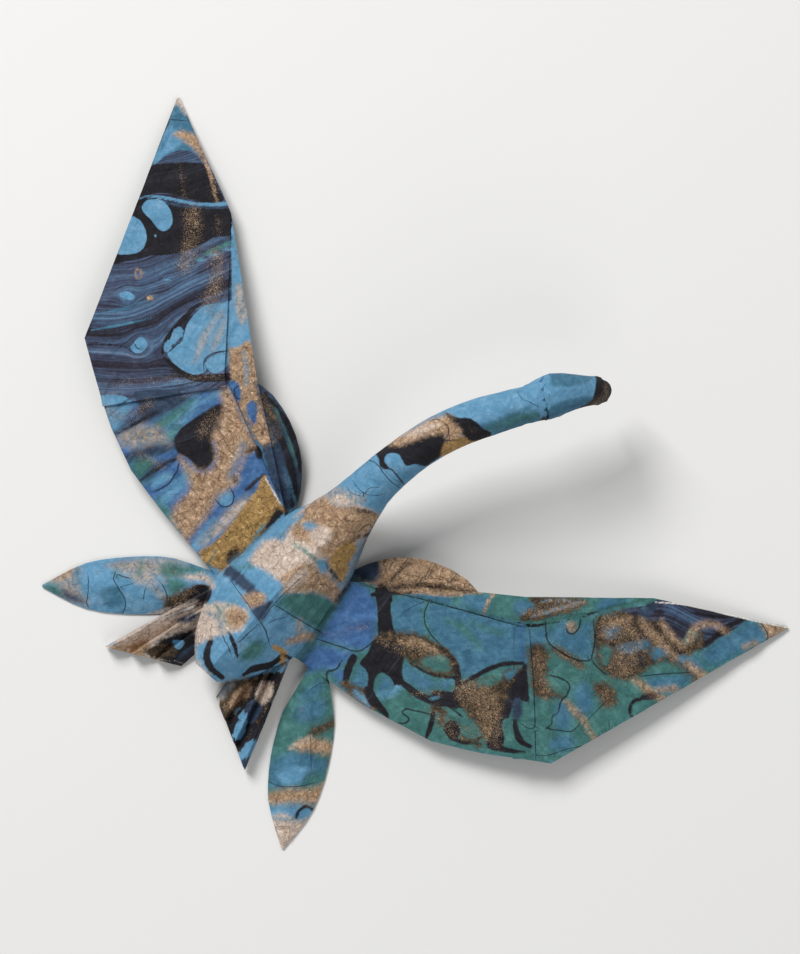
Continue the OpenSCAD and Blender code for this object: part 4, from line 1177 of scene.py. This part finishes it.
# Bare paper along the cut edges, the shine of the inks that hold mica, and painted shade along the creases, darkest
# on those inks
colour = blend(fade(field("raw_edge"), 0.6, -0.3), colour, ink(226, 222, 216))
shine = larger(times(masks["gold"], 0.4), larger(times(masks["ochre"], 0.36), times(masks["cream"], 0.3)))
shine = larger(shine, larger(times(masks["bronze"], 0.36), times(flake, 0.42)))
colour = blend(times(crease, plus(times(shine, 1.2), 0.14)), colour, ink(44, 34, 30))
tree.links.new(colour, shader.inputs["Base Color"])
tree.links.new(shine, shader.inputs["Metallic"])
dullness = plus(fade(shine, 0.0, 0.4, 0.66, 0.46), times(minus(fray, 0.5), 0.16))
tree.links.new(dullness, shader.inputs["Roughness"])
shader.inputs["Specular IOR Level"].default_value = 0.22

# Relief in millimetres
ridges = calc("ABSOLUTE", minus(foil, 0.5))
relief = plus(times(broad, 2.0), minus(times(ridges, 1.9), times(net, 0.9)))
relief = times(relief, plus(times(shine, 1.5), 0.55))
relief = minus(relief, times(crease, 0.1))
bump = place(tree, "ShaderNodeBump", {"Strength": 1.0, "Distance": 0.001, "Height": relief})
tree.links.new(bump.outputs["Normal"], shader.inputs["Normal"])
crane_mesh.materials.append(paper)
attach(crane, "root")
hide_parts("folded_crane")

# Floor
# A plain pale table top under the crane, wide enough to fill the view.
# Matt, so that it keeps a soft shadow and shows no glare.
FLOOR_REACH = 4
FLOOR_TOP = -0.0002
floor_corners = [(x * FLOOR_REACH, y * FLOOR_REACH, FLOOR_TOP) for x, y in ((-1, -1), (1, -1), (1, 1), (-1, 1))]
floor_mesh = bpy.data.meshes.new("floor")
floor_mesh.from_pydata(floor_corners, [], [(0, 1, 2, 3)])
floor = bpy.data.objects.new("floor", floor_mesh)
bpy.context.scene.collection.objects.link(floor)
table_top = bpy.data.materials.new("pale table")
table_top.use_nodes = True
table_shader = table_top.node_tree.nodes["Principled BSDF"]
table_shader.inputs["Base Color"].default_value = (0.78, 0.77, 0.75, 1)
table_shader.inputs["Roughness"].default_value = 0.85
floor_mesh.materials.append(table_top)

# Light
# A broad lamp stands beyond the left wing, with a weaker one opposite and an even pale room around.
# Together they light the sheet at a plain level.
LAMPS_AIM = Vector((0, 0.02, 0))
LAMPS = (("key lamp", (-1.71, 0.54, 1.8), 1.0, 60.0), ("fill lamp", (1.8, -1.0, 1.8), 2.0, 19.0))
room = bpy.data.worlds.new("room")
bpy.context.scene.world = room
room.use_nodes = True
room.node_tree.nodes["Background"].inputs["Color"].default_value = (0.96, 0.98, 1.0, 1)
room.node_tree.nodes["Background"].inputs["Strength"].default_value = 0.3
for name, stand, size, power in LAMPS:
    lamp = bpy.data.lights.new(name, "AREA")
    lamp.size = size
    lamp.energy = power
    lamp_object = bpy.data.objects.new(name, lamp)
    lamp_object.location = stand
    lamp_object.rotation_euler = (LAMPS_AIM - Vector(stand)).to_track_quat("-Z", "Y").to_euler()
    bpy.context.scene.collection.objects.link(lamp_object)

# Camera
# It looks straight down from above the table, turned so that the neck reaches up to the right.
# A long lens from far off keeps the plan true.
CAMERA_HEIGHT = 3.2
VIEW_LENGTH = 0.3816
SENSOR = 36
camera = bpy.data.cameras.new("camera")
camera.sensor_width = SENSOR
camera.lens = SENSOR * CAMERA_HEIGHT / VIEW_LENGTH
camera.clip_end = 50
camera_object = bpy.data.objects.new("camera", camera)
camera_object.location = (0.0053, 0.02986, CAMERA_HEIGHT)
camera_object.rotation_euler = (0, 0, math.radians(41.4))
bpy.context.scene.collection.objects.link(camera_object)
bpy.context.scene.camera = camera_object
bpy.context.scene.view_settings.view_transform = "Standard"
